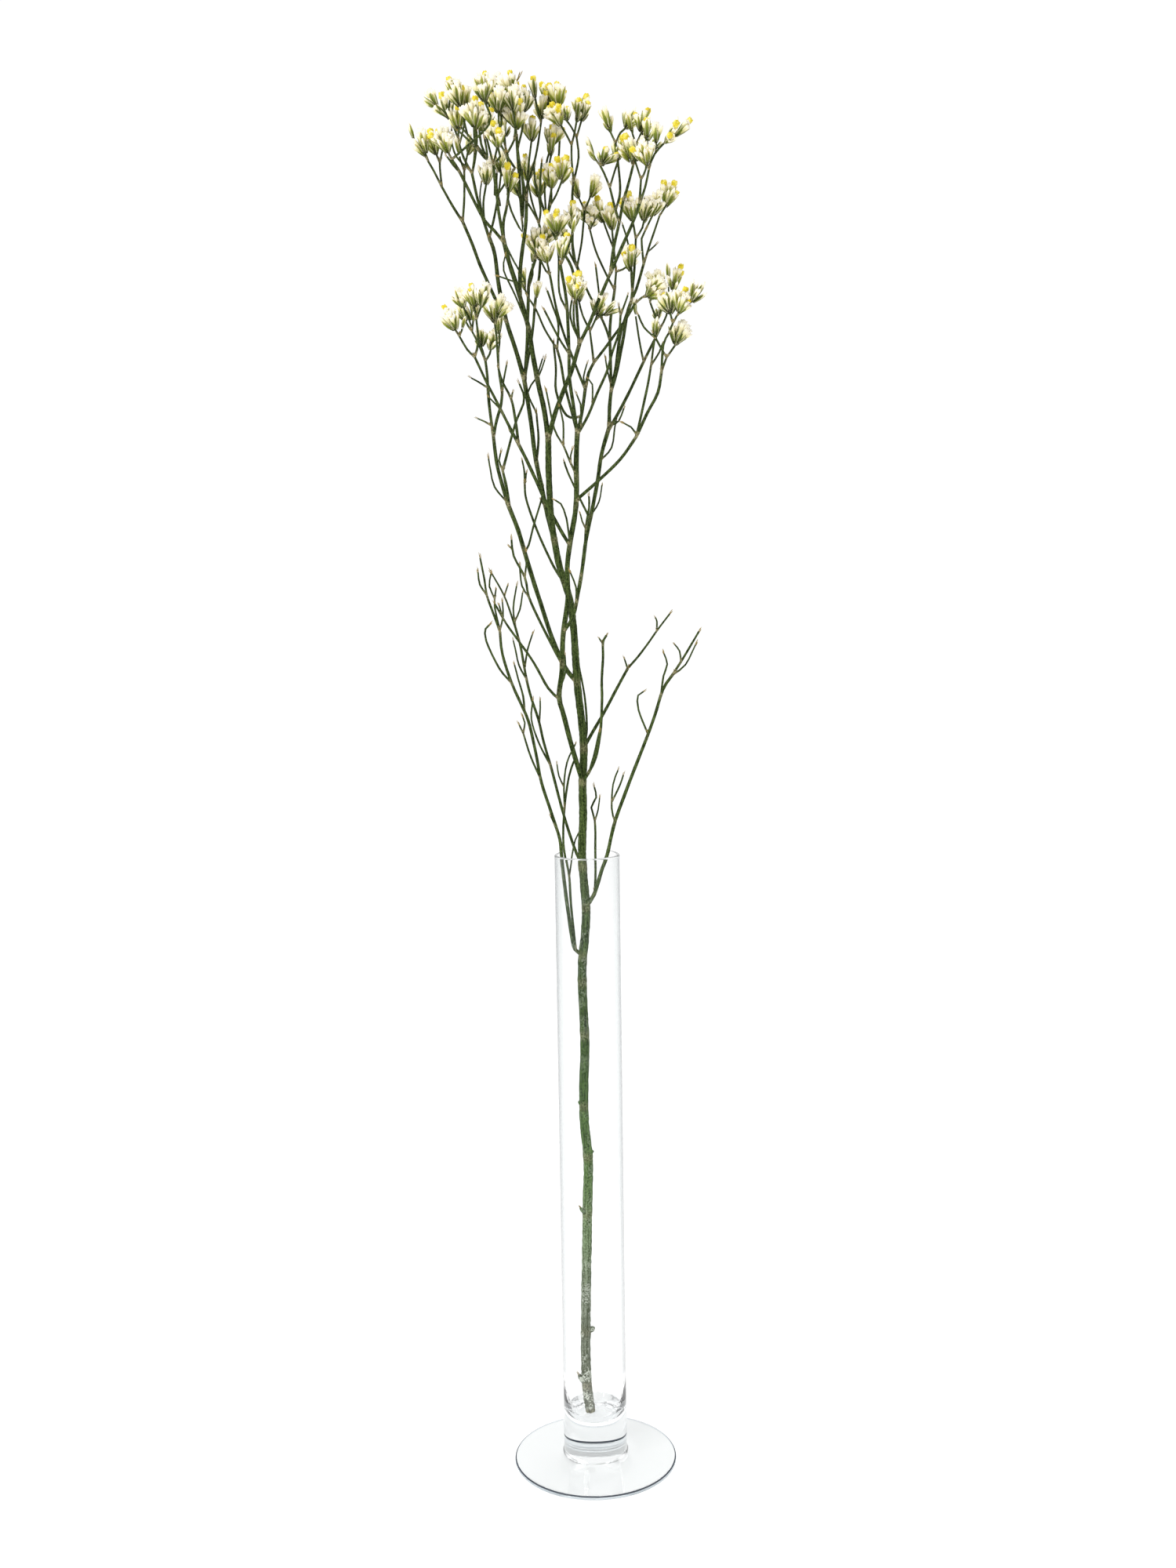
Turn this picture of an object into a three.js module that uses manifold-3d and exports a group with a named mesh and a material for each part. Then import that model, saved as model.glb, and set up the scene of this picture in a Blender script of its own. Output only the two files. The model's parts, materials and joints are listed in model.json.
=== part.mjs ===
// A cut branch of dried statice standing in a tall clear glass vase with a disc foot.
// Millimetres, +Z up, the foot rests on Z = 0, the vase axis is the Z axis and the front faces -Y.
import * as THREE from "three";
import Module from "manifold-3d";

const wasm = await Module();
wasm.setup();

// Driving dimensions of the vase.
const vaseHeight = 380;
const tubeRadius = 19.5;
const wallThickness = 2;
const heelHeight = 9.8;
const heelRounding = [1, 2];
const footRadius = 50;
const footRimThickness = 2.6;
const footStubRadius = 18.6;
const footStubHeight = 19.2;
const glassSides = 28;

// The foot's upper side between its rim and its stub: radius and height.
const footSlope = [[31, 4.2], [22.6, 7], [19.2, 10]];

// The rounded inner bottom of the tube: share of the inner radius and height above the heel.
const innerBottom = [[1, 31], [0.91, 19], [0.75, 9], [0.56, 2.4], [0.38, 0]];

// Driving dimensions of the plant.
const seatGap = 0.3;
const shortestEdge = 0.01;
const stoutShoot = 3.4;
const slenderShoot = 2.6;
const slenderFill = 1.15;
const budLength = 8.4;
const budRadius = 1.35;
const budShoulder = 0.45;
const calyxLength = 10.4;
const calyxRadius = 1.9;
const calyxShoulder = 0.86;
const calyxDip = 0.8;
const corollaRadius = 2.0;
const corollaFoot = 0.6;
const corollaRise = 1.7;
const floretSizes = [0.9, 1.1];
const headSpread = 0.6;
const headLeans = [0.85, 1.15];
const upwardPull = 0.5;
const coreHeight = 3.0;
const coreRadius = 1.2;

const looks = {
  glass: { color: 0xc4d2d6, roughness: 0.05, transparent: true, opacity: 0.35 },
  green: { color: 0x5c7040, roughness: 0.8 },
  cream: { color: 0xebe0c4, roughness: 0.85 },
};

// The plant, node by node: name, the node it grows from, its colour, and its shoots.
// A shoot is its thickness at the root and at the tip, the florets at its tip in order
// (y yellow corolla, w open white calyx, b closed bud) and the points of its route.
// A route's first point is only near what it grows from: joinRoot moves it onto that centre line.
const plant = [
  ["main_stem", "", "green", [
    [6.0, 3.4, "", [[-3, 0, 29.3], [-5, 0, 52], [-5, 0, 86], [-3, 0, 157], [-2, 0, 191], [-4, 0, 216],
      [-4, 0, 238], [-3, 0, 265], [-4, 0, 308], [-2, 0, 330], [-1, 0, 346], [-2, 0, 362], [-3, 0, 380],
      [-2, 0, 403], [-2, 0, 424], [-1, 0, 441], [-2, 0, 459], [-4, 0, 478], [-5, 0, 496], [-6, 1, 515],
      [-8, 1, 531], [-13, 2, 548], [-16, 2, 563], [-18, 2, 578], [-19, 3, 601], [-19, 4, 630]]],
    [1.9, 1.0, "", [[-5, 0, 45], [-8, -2, 49], [-10, -3, 54]]],
    [1.6, 1.1, "", [[-3, 0, 83], [-1, 1, 86], [0, 2, 88]]],
    [1.6, 1.0, "", [[-4, 0, 158], [-6, -2, 161], [-8, -2, 165]]],
    [1.6, 1.2, "", [[-2, 0, 194], [0, -1, 197], [1, -1, 199]]],
    [1.5, 1.1, "", [[-5, 0, 225], [-7, 1, 227], [-8, 1, 230]]],
    [1.9, 1.4, "", [[-1, 0, 443], [3, 4, 450], [11, 10, 463], [19, 15, 477], [26, 20, 489]]],
    [1.3, 0.8, "", [[26, 20, 489], [34, 23, 498], [44, 28, 511], [52, 32, 521]]],
    [0.8, 0.6, "", [[26, 20, 489], [25, 18, 492], [24, 16, 495]]],
    [0.8, 0.6, "", [[44, 28, 511], [44, 24, 517], [43, 22, 519]]],
    [1.2, 0.8, "", [[-2, 0, 444], [1, 6, 454], [0, 8, 473], [-3, 8, 491], [-4, 9, 498]]],
    [1.4, 1.1, "", [[-13, 1, 540], [-16, 14, 548], [-21, 18, 558], [-27, 21, 572], [-33, 24, 590],
      [-34, 26, 600]]],
    [0.9, 0.7, "", [[-34, 26, 600], [-34, 26, 607], [-35, 24, 613]]],
    [0.9, 0.7, "", [[-34, 26, 599], [-33, 30, 606]]],
    [1.7, 1.1, "", [[-2, 0, 423], [2, -6, 430], [6, -10, 439], [9, -12, 455], [10, -13, 472],
      [10, -14, 483], [11, -15, 497], [11, -16, 506], [13, -18, 510]]],
    [0.8, 0.6, "", [[11, -16, 505], [9, -12, 508]]],
    [1.0, 0.7, "", [[2, -6, 430], [5, -14, 441], [8, -17, 454]]],
  ]],
  ["twig_left_low", "main_stem", "green", [
    [2.3, 1.4, "", [[-5, 0, 319], [-8, -2, 323], [-10, -2, 333], [-13, -3, 359], [-15, -3, 379],
      [-16, -4, 390], [-20, -6, 404], [-26, -8, 424], [-29, -10, 442], [-33, -12, 461],
      [-37, -14, 471], [-42, -15, 483], [-47, -18, 500], [-48, -20, 513]]],
    [1.3, 0.8, "", [[-48, -20, 513], [-51, -22, 522], [-55, -24, 534], [-56, -26, 543],
      [-58, -28, 555]]],
    [0.9, 0.7, "", [[-55, -24, 534], [-59, -22, 540], [-60, -20, 547]]],
    [1.0, 0.7, "", [[-48, -20, 513], [-51, -16, 527], [-51, -15, 532], [-54, -13, 539],
      [-53, -12, 546]]],
    [0.9, 0.6, "", [[-48, -20, 514], [-46, -24, 522], [-46, -28, 530]]],
    [0.9, 0.6, "", [[-51, -15, 532], [-50, -20, 537]]],
    [1.2, 0.8, "", [[-42, -16, 483], [-49, -18, 492], [-56, -22, 508], [-56, -25, 515],
      [-54, -26, 517]]],
    [1.1, 0.7, "", [[-26, -8, 426], [-32, -12, 440], [-36, -16, 454], [-38, -18, 459]]],
    [0.8, 0.7, "", [[-36, -16, 454], [-35, -14, 460], [-36, -13, 463]]],
    [1.2, 0.7, "", [[-34, -13, 467], [-36, -8, 475], [-39, -2, 485], [-41, 0, 493]]],
    [1.4, 1.1, "", [[-8, -2, 322], [-10, 2, 349], [-11, 4, 366], [-14, 6, 385], [-13, 8, 407],
      [-10, 7, 426], [-7, 6, 435]]],
    [1.0, 0.7, "", [[-13, 8, 407], [-13, 2, 422], [-11, -1, 435], [-6, -4, 446]]],
    [0.8, 0.6, "", [[-13, 3, 420], [-16, 0, 427], [-17, -2, 434]]],
    [0.8, 0.7, "", [[-11, 4, 366], [-9, 8, 378], [-7, 9, 387], [-5, 10, 391]]],
    [0.8, 0.6, "", [[-19, -5, 397], [-21, -8, 404]]],
  ]],
  ["twig_left_mid", "main_stem", "green", [
    [1.8, 1.3, "", [[-2, 0, 373], [-6, 6, 379], [-10, 9, 390], [-15, 14, 407], [-20, 17, 427],
      [-25, 20, 445], [-28, 21, 459], [-33, 22, 475], [-36, 21, 491], [-38, 20, 503], [-41, 20, 515]]],
    [1.1, 0.7, "", [[-41, 20, 515], [-42, 23, 526], [-40, 26, 539]]],
    [0.9, 0.7, "", [[-41, 21, 518], [-38, 19, 525], [-36, 16, 535]]],
    [1.1, 0.7, "", [[-39, 20, 506], [-43, 14, 522], [-47, 11, 534], [-54, 8, 547]]],
    [0.8, 0.6, "", [[-47, 11, 533], [-45, 18, 539]]],
    [0.9, 0.7, "", [[-36, 21, 490], [-34, 26, 501], [-31, 28, 510]]],
    [0.9, 0.6, "", [[-35, 22, 483], [-39, 16, 492], [-41, 13, 502], [-42, 12, 507]]],
    [1.1, 0.7, "", [[-22, 18, 431], [-28, 12, 446], [-32, 10, 460], [-31, 10, 471]]],
    [0.8, 0.7, "", [[-28, 21, 457], [-27, 24, 466], [-27, 26, 470]]],
  ]],
  ["twig_right_low", "main_stem", "green", [
    [2.5, 1.6, "", [[-2, 0, 348], [4, -2, 356], [9, -4, 372], [12, -4, 380], [17, -10, 401],
      [26, -16, 426], [33, -20, 444], [40, -24, 463], [45, -28, 479], [51, -28, 488]]],
    [1.3, 0.9, "", [[51, -28, 488], [57, -32, 498], [65, -38, 512]]],
    [1.4, 0.8, "", [[4, -2, 357], [5, 3, 369], [5, 4, 380], [5, 6, 399], [3, 7, 407], [6, 7, 413],
      [5, 8, 419]]],
    [0.8, 0.6, "", [[5, 6, 399], [7, 4, 406], [8, 3, 413]]],
    [1.0, 0.7, "", [[17, -10, 400], [15, -6, 408], [16, -4, 422], [19, -2, 430]]],
    [0.9, 0.7, "", [[15, -5, 412], [20, -8, 422], [22, -9, 428]]],
    [1.0, 0.7, "", [[36, -22, 453], [31, -18, 467], [31, -15, 475], [34, -14, 477]]],
    [1.0, 0.7, "", [[43, -27, 475], [45, -34, 487], [47, -37, 494], [45, -40, 500]]],
    [1.0, 0.6, "", [[51, -28, 487], [58, -26, 493], [64, -22, 504]]],
    [0.8, 0.6, "", [[55, -31, 495], [54, -38, 501], [51, -42, 505]]],
  ]],
  ["second_stem", "main_stem", "green", [
    [3.0, 3.0, "", [[-2, 0, 423], [-5, -6, 434], [-9, -9, 449], [-13, -12, 466], [-15, -13, 475],
      [-13, -14, 490], [-12, -14, 510], [-9, -14, 531], [-9, -14, 549], [-7, -14, 564], [-4, -14, 580],
      [-3, -14, 593], [-3, -13, 609], [-2, -12, 626]]],
    [0.9, 0.6, "", [[-13, -13, 479], [-11, -17, 489], [-11, -18, 499]]],
    [1.0, 0.7, "", [[-8, -14, 563], [-9, -18, 577], [-12, -21, 585], [-15, -22, 587]]],
    [1.5, 0.9, "", [[-15, -13, 473], [-21, -16, 480], [-29, -20, 495], [-38, -26, 509],
      [-44, -29, 518], [-50, -32, 529]]],
    [0.8, 0.6, "", [[-46, -30, 522], [-48, -24, 528]]],
    [1.5, 1.0, "", [[-13, -14, 494], [-18, -17, 504], [-26, -22, 521], [-31, -24, 533],
      [-33, -26, 544], [-39, -28, 556], [-40, -30, 565]]],
    [0.9, 0.7, "", [[-31, -24, 532], [-35, -20, 539], [-36, -19, 550]]],
    [0.8, 0.6, "", [[-33, -26, 544], [-32, -28, 551], [-32, -30, 558]]],
    [0.7, 0.6, "", [[-40, -29, 559], [-41, -26, 561]]],
    [2.0, 1.5, "", [[-2, -12, 625], [-4, -18, 640], [-6, -22, 656], [-6, -24, 673], [-7, -22, 697],
      [-10, -20, 717]]],
    [1.1, 0.9, "", [[-6, -24, 668], [-12, -28, 677], [-19, -34, 690]]],
    [1.1, 1.0, "", [[-7, -22, 692], [-11, -16, 703], [-11, -12, 722], [-12, -10, 731]]],
    [1.6, 1.3, "", [[-3, -12, 625], [-5, -6, 638], [-9, 0, 654], [-11, 5, 667], [-13, 8, 675]]],
    [1.1, 0.8, "", [[-13, 8, 675], [-20, 14, 687], [-25, 18, 699], [-30, 20, 707]]],
    [0.9, 0.8, "wb", [[-30, 20, 707], [-31, 20, 710]]],
    [0.8, 0.7, "w", [[-26, 18, 700], [-25, 14, 703]]],
    [1.1, 0.9, "", [[-13, 8, 675], [-12, 4, 689], [-15, 0, 698], [-18, -4, 706]]],
    [1.5, 1.1, "", [[-1, -12, 624], [4, -18, 634], [9, -24, 645], [15, -30, 657], [18, -32, 667],
      [22, -34, 678], [23, -34, 688]]],
    [0.8, 0.6, "", [[23, -34, 687], [22, -38, 691]]],
    [0.9, 0.8, "", [[23, -34, 687], [27, -32, 698]]],
    [0.8, 0.6, "", [[7, -21, 640], [7, -16, 652], [5, -14, 655]]],
    [0.8, 0.6, "", [[1, -14, 628], [0, -26, 640], [-2, -28, 645]]],
    [1.2, 1.0, "", [[-3, -13, 602], [-6, -16, 608], [-10, -18, 618]]],
    [1.0, 0.7, "", [[-10, -18, 618], [-15, -22, 627], [-18, -25, 642], [-19, -26, 647]]],
    [1.0, 0.7, "", [[-10, -18, 618], [-10, -14, 631], [-12, -12, 640]]],
    [0.8, 0.6, "", [[-6, -16, 608], [-6, -19, 612], [-5, -22, 615]]],
  ]],
  ["left_arm", "main_stem", "green", [
    [2.7, 2.6, "", [[-6, 0, 482], [-10, 0, 489], [-14, 2, 497], [-19, 4, 509], [-25, 8, 528],
      [-32, 11, 551], [-38, 13, 572], [-44, 14, 588]]],
    [2.3, 1.9, "", [[-44, 14, 588], [-47, 16, 599], [-50, 18, 612], [-52, 20, 630]]],
    [1.0, 0.7, "", [[-44, 14, 588], [-51, 10, 597], [-53, 8, 606], [-54, 6, 613]]],
    [1.2, 0.8, "", [[-34, 12, 559], [-32, 18, 563], [-29, 20, 574], [-24, 23, 590], [-23, 24, 597]]],
    [2.0, 1.4, "", [[-44, 14, 585], [-44, 10, 596], [-46, 8, 606]]],
    [0.9, 0.7, "", [[-46, 8, 606], [-48, 7, 612], [-47, 6, 616]]],
    [1.4, 0.9, "", [[-46, 8, 606], [-41, 6, 623], [-37, 4, 635], [-33, 4, 644], [-33, 3, 650],
      [-35, 2, 655]]],
    [1.8, 1.4, "", [[-52, 20, 629], [-54, 24, 646], [-55, 28, 663], [-56, 30, 672]]],
    [0.9, 0.6, "", [[-53, 21, 633], [-57, 23, 636], [-61, 26, 638]]],
    [0.9, 0.6, "", [[-55, 26, 656], [-60, 22, 659], [-64, 20, 661]]],
    [1.8, 1.4, "", [[-51, 20, 627], [-49, 12, 636], [-46, 6, 644], [-45, 2, 651]]],
    [1.0, 0.7, "", [[-45, 2, 651], [-44, -1, 657], [-42, -4, 665]]],
    [1.2, 0.9, "", [[-45, 3, 650], [-47, 6, 664], [-47, 6, 673]]],
    [1.0, 0.9, "bw", [[-47, 6, 673], [-46, 2, 679], [-46, 0, 682]]],
  ]],
  ["left_low_spray_heads_1", "left_arm", "cream", [
    [1.3, 1.0, "", [[-56, 30, 672], [-60, 33, 682], [-64, 36, 690]]],
    [1.1, 1.0, "ybb", [[-64, 36, 690], [-66, 38, 693], [-68, 42, 697]]],
    [1.0, 0.9, "wyb", [[-64, 36, 690], [-63, 32, 695]]],
    [1.0, 0.9, "wybw", [[-64, 35, 691], [-66, 28, 698], [-68, 24, 702]]],
    [1.1, 1.0, "ybb", [[-56, 30, 672], [-58, 38, 679], [-59, 42, 682]]],
    [1.1, 1.0, "wbb", [[-56, 30, 672], [-53, 22, 675], [-52, 18, 677]]],
  ]],
  ["left_cross", "second_stem", "green", [
    [2.1, 1.8, "", [[-7, -14, 562], [-11, -17, 568], [-19, -20, 583], [-26, -24, 599], [-32, -27, 612],
      [-35, -28, 618]]],
    [1.7, 1.2, "", [[-35, -28, 618], [-40, -30, 628], [-46, -33, 640], [-52, -36, 652],
      [-58, -38, 665]]],
    [0.9, 0.6, "", [[-36, -28, 619], [-40, -24, 626]]],
    [0.9, 0.6, "", [[-44, -32, 637], [-51, -28, 644]]],
    [1.5, 1.1, "", [[-35, -28, 618], [-37, -24, 634], [-39, -22, 644], [-44, -20, 654],
      [-46, -18, 661]]],
    [0.9, 0.6, "", [[-39, -22, 644], [-38, -26, 647]]],
  ]],
  ["left_cross_heads_1", "left_cross", "cream", [
    [1.2, 1.0, "", [[-58, -38, 665], [-62, -40, 669], [-66, -42, 676]]],
    [1.0, 0.8, "yybwb", [[-66, -42, 676], [-68, -44, 679]]],
    [0.9, 0.8, "b", [[-66, -42, 676], [-65, -38, 679]]],
    [1.2, 1.0, "", [[-58, -38, 665], [-56, -36, 674], [-57, -34, 686]]],
    [1.0, 0.9, "yywbb", [[-57, -34, 686], [-58, -32, 693]]],
    [1.0, 0.9, "wybb", [[-57, -34, 686], [-54, -38, 692]]],
  ]],
  ["left_cross_heads_2", "left_cross", "cream", [
    [1.0, 0.9, "wbb", [[-46, -18, 661], [-47, -16, 681], [-48, -14, 688]]],
    [1.0, 0.9, "wb", [[-48, -15, 686], [-46, -18, 690]]],
  ]],
  ["back_left_stem", "main_stem", "green", [
    [2.9, 2.6, "", [[-16, 2, 565], [-20, 8, 580], [-23, 10, 594], [-27, 13, 615], [-29, 15, 634],
      [-33, 18, 661]]],
    [0.8, 0.6, "", [[-21, 9, 586], [-23, 7, 587], [-24, 4, 589]]],
    [1.4, 1.0, "", [[-26, 12, 612], [-25, 18, 625], [-26, 20, 640]]],
    [1.0, 0.7, "", [[-26, 20, 640], [-31, 26, 653], [-26, 26, 661], [-22, 24, 672]]],
    [2.0, 1.6, "", [[-33, 18, 658], [-31, 24, 680], [-30, 26, 701], [-29, 24, 717], [-25, 20, 728]]],
    [1.0, 0.9, "b", [[-30, 24, 713], [-27, 28, 721], [-27, 30, 726]]],
    [1.5, 1.3, "", [[-32, 19, 661], [-28, 34, 688], [-26, 36, 707], [-23, 36, 725], [-22, 34, 745],
      [-23, 34, 751]]],
  ]],
  ["far_left_spray", "back_left_stem", "green", [
    [2.8, 2.2, "", [[-33, 18, 659], [-38, 20, 678], [-43, 22, 694], [-47, 24, 714], [-49, 26, 732],
      [-52, 27, 742]]],
    [2.1, 1.7, "", [[-43, 22, 692], [-49, 16, 706], [-57, 12, 724], [-61, 8, 735], [-66, 6, 747]]],
    [1.2, 1.0, "", [[-66, 6, 747], [-65, 10, 762], [-65, 14, 777]]],
    [0.9, 0.8, "b", [[-65, 14, 777], [-67, 12, 783]]],
    [0.9, 0.8, "by", [[-65, 14, 777], [-63, 18, 788]]],
    [1.9, 1.6, "", [[-51, 27, 740], [-55, 32, 752], [-58, 34, 762], [-62, 38, 781]]],
    [1.3, 1.0, "wbb", [[-52, 28, 742], [-49, 34, 756], [-46, 38, 773], [-45, 40, 781]]],
    [0.8, 0.6, "", [[-56, 33, 756], [-58, 42, 769], [-57, 44, 777]]],
  ]],
  ["far_left_spray_heads_1", "far_left_spray", "cream", [
    [1.4, 1.2, "", [[-66, 6, 747], [-72, 2, 756], [-77, 0, 765]]],
    [1.1, 1.0, "", [[-77, 0, 765], [-81, -3, 773], [-84, -5, 778]]],
    [1.0, 0.9, "wyb", [[-84, -5, 778], [-85, -7, 781]]],
    [0.8, 0.7, "b", [[-84, -6, 779], [-90, -4, 786], [-91, -4, 788]]],
    [1.1, 1.0, "", [[-77, 0, 765], [-78, 2, 776], [-78, 2, 779]]],
    [0.9, 0.8, "yyb", [[-78, 2, 779], [-80, 4, 784]]],
    [0.9, 0.8, "wyb", [[-78, 2, 779], [-76, -1, 785]]],
  ]],
  ["top_left_spray_heads_1", "far_left_spray", "cream", [
    [1.4, 1.1, "", [[-62, 38, 781], [-67, 40, 791], [-70, 42, 801]]],
    [1.1, 1.0, "yywb", [[-70, 42, 801], [-70, 44, 808]]],
    [1.1, 1.0, "yywyb", [[-70, 42, 802], [-73, 50, 811], [-76, 52, 817]]],
    [1.2, 1.0, "wybbw", [[-62, 38, 781], [-60, 34, 792], [-60, 32, 806]]],
    [1.0, 0.9, "wyb", [[-60, 34, 792], [-63, 26, 799], [-67, 24, 815]]],
  ]],
  ["top_left_spray_heads_2", "far_left_spray", "cream", [
    [1.3, 1.0, "wbbw", [[-55, 32, 752], [-55, 26, 762], [-53, 22, 771]]],
  ]],
  ["crown_left", "main_stem", "green", [
    [3.1, 2.5, "", [[-18, 4, 624], [-21, 2, 640], [-24, -2, 654], [-27, -5, 671], [-29, -8, 685],
      [-34, -11, 704], [-39, -13, 720], [-42, -15, 733]]],
    [1.0, 0.6, "", [[-29, -8, 686], [-36, -16, 702], [-42, -18, 715], [-41, -20, 722]]],
    [0.8, 0.6, "", [[-42, -15, 732], [-36, -22, 719], [-30, -24, 708], [-34, -26, 707],
      [-44, -28, 710]]],
    [0.8, 0.6, "", [[-25, -3, 657], [-22, -6, 662], [-20, -8, 667]]],
    [1.8, 1.4, "", [[-42, -15, 731], [-47, -18, 737], [-52, -20, 742], [-58, -24, 753],
      [-65, -27, 767], [-69, -28, 773]]],
    [0.9, 0.8, "", [[-65, -27, 766], [-68, -32, 769], [-71, -34, 773]]],
    [1.7, 1.3, "", [[-42, -15, 732], [-44, -20, 746], [-45, -24, 758], [-46, -28, 770]]],
    [1.6, 1.3, "", [[-42, -15, 731], [-42, -10, 743], [-40, -6, 753], [-38, -2, 772], [-40, 0, 782]]],
    [1.0, 0.9, "yb", [[-41, -6, 753], [-39, -12, 757], [-39, -14, 759]]],
    [2.4, 1.8, "", [[-33, -11, 702], [-33, -6, 719], [-30, 0, 742], [-29, 2, 758]]],
    [1.4, 1.1, "", [[-29, 2, 758], [-31, 0, 768], [-33, -2, 780], [-34, -2, 793]]],
  ]],
  ["crown_left_outer_heads_1", "crown_left", "cream", [
    [1.0, 0.9, "wyyb", [[-69, -28, 773], [-71, -30, 777]]],
  ]],
  ["crown_left_outer_heads_2", "crown_left", "cream", [
    [1.1, 0.9, "yywby", [[-46, -28, 770], [-48, -30, 778], [-50, -32, 786]]],
    [1.1, 0.9, "ywbyb", [[-46, -27, 768], [-42, -34, 773], [-43, -38, 777]]],
    [1.0, 0.9, "wbywb", [[-46, -28, 770], [-43, -22, 786], [-43, -20, 800]]],
  ]],
  ["crown_left_mid_heads_1", "crown_left", "cream", [
    [1.1, 1.0, "wyb", [[-40, 0, 782], [-41, 4, 794]]],
    [1.1, 1.0, "yywb", [[-40, 0, 781], [-35, -6, 789], [-34, -8, 794]]],
    [1.1, 1.0, "ywbby", [[-40, -1, 779], [-47, 8, 798], [-50, 10, 814]]],
  ]],
  ["crown_centre_heads_1", "crown_left", "cream", [
    [1.0, 1.0, "wbbw", [[-34, -2, 793], [-35, -2, 805]]],
    [0.8, 0.6, "bbb", [[-35, -2, 805], [-35, 4, 817], [-34, 6, 823]]],
  ]],
  ["crown_centre_heads_2", "crown_left", "cream", [
    [1.1, 1.0, "yywbb", [[-34, -2, 785], [-31, 8, 798], [-30, 10, 808]]],
  ]],
  ["crown_centre_heads_3", "crown_left", "cream", [
    [1.2, 1.0, "ybyb", [[-29, 2, 758], [-28, 10, 777], [-26, 14, 793]]],
  ]],
  ["crown_centre_heads_4", "crown_left", "cream", [
    [1.2, 1.0, "ywbyb", [[-28, 1, 762], [-24, 18, 785], [-20, 22, 808]]],
  ]],
  ["mid_left_spray_heads_1", "back_left_stem", "cream", [
    [1.1, 0.9, "wbyb", [[-25, 20, 728], [-25, 16, 732]]],
  ]],
  ["mid_left_spray_heads_2", "back_left_stem", "cream", [
    [1.1, 1.0, "ybwb", [[-22, 35, 739], [-21, 30, 737], [-20, 28, 738]]],
  ]],
  ["mid_left_spray_heads_3", "back_left_stem", "cream", [
    [1.1, 0.9, "ywbbb", [[-23, 34, 751], [-27, 30, 764], [-29, 28, 775]]],
    [1.1, 1.0, "yb", [[-23, 33, 753], [-29, 38, 763], [-34, 42, 770]]],
    [1.1, 1.0, "ybb", [[-23, 34, 751], [-22, 40, 760], [-23, 42, 768]]],
  ]],
  ["crown_right", "main_stem", "green", [
    [2.9, 2.3, "", [[-19, 4, 624], [-15, 0, 637], [-10, -6, 649], [-5, -10, 660], [-2, -13, 669],
      [0, -14, 675]]],
    [2.0, 1.7, "", [[0, -14, 675], [5, -17, 684], [11, -21, 697], [18, -25, 712]]],
    [1.8, 1.4, "", [[18, -25, 712], [20, -22, 726], [23, -20, 739], [26, -18, 754]]],
    [1.7, 1.3, "", [[-1, -14, 674], [-1, -8, 688], [-2, -2, 706], [-4, 2, 720], [-11, 6, 733],
      [-18, 10, 749]]],
    [1.4, 1.1, "", [[23, -20, 740], [21, -24, 746], [18, -28, 757]]],
    [1.3, 1.0, "", [[21, -23, 746], [24, -14, 758], [23, -8, 776], [22, -6, 786]]],
    [1.5, 1.2, "", [[26, -18, 752], [28, -22, 759], [31, -26, 769]]],
    [1.9, 1.4, "", [[18, -25, 711], [24, -30, 724], [30, -35, 736], [34, -38, 746]]],
  ]],
  ["crown_right_heads_1", "crown_right", "cream", [
    [1.1, 0.9, "", [[0, -14, 675], [-3, -20, 686], [-3, -24, 695]]],
    [0.9, 0.9, "yyywb", [[-3, -24, 695], [-2, -26, 698]]],
  ]],
  ["crown_right_back_heads_1", "crown_right", "cream", [
    [1.2, 1.0, "ywyyb", [[-18, 10, 749], [-15, 8, 758], [-15, 6, 765]]],
    [1.0, 0.9, "yyb", [[-16, 8, 756], [-12, 0, 760], [-9, -4, 766]]],
    [1.0, 0.9, "yb", [[-15, 6, 764], [-16, 14, 778], [-15, 16, 785]]],
    [1.0, 0.9, "yybwy", [[-18, 10, 749], [-19, 18, 768], [-18, 20, 781], [-15, 22, 792]]],
  ]],
  ["top_right_left_heads_1", "crown_right", "cream", [
    [1.0, 0.9, "", [[18, -28, 757], [15, -30, 764], [13, -30, 768]]],
    [0.8, 0.8, "yyb", [[13, -30, 768], [14, -26, 770]]],
    [0.8, 0.8, "bb", [[13, -30, 768], [10, -34, 771]]],
    [1.0, 0.9, "ywb", [[18, -28, 757], [21, -22, 767], [23, -20, 773]]],
  ]],
  ["top_right_left_heads_2", "crown_right", "cream", [
    [1.0, 0.9, "wb", [[22, -6, 786], [19, -4, 793]]],
    [1.0, 0.9, "bwbb", [[23, -6, 783], [25, 2, 794], [28, 4, 797]]],
  ]],
  ["top_right_mid_heads_1", "crown_right", "cream", [
    [0.9, 0.9, "yyb", [[31, -26, 769], [30, -28, 771]]],
    [0.9, 0.8, "wb", [[31, -26, 769], [33, -24, 773]]],
    [1.1, 0.9, "", [[31, -26, 769], [33, -18, 782]]],
    [0.9, 0.8, "yyb", [[33, -18, 782], [36, -16, 789]]],
    [0.9, 0.8, "bb", [[33, -18, 782], [31, -22, 787]]],
  ]],
  ["top_right_outer_heads_1", "crown_right", "cream", [
    [1.3, 1.0, "", [[34, -38, 746], [35, -36, 759]]],
    [0.8, 0.8, "w", [[35, -36, 759], [33, -34, 766], [32, -34, 769]]],
    [0.9, 0.9, "yb", [[35, -36, 759], [38, -30, 766], [39, -26, 778], [39, -24, 782]]],
    [1.3, 1.0, "", [[34, -38, 746], [37, -42, 754], [39, -46, 762]]],
    [1.0, 0.9, "wwyb", [[39, -46, 762], [38, -48, 764]]],
    [0.9, 0.8, "", [[39, -46, 763], [42, -50, 769], [47, -52, 774]]],
    [0.8, 0.8, "wb", [[42, -50, 770], [43, -46, 774]]],
    [0.8, 0.7, "yb", [[47, -52, 774], [48, -54, 774]]],
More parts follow.
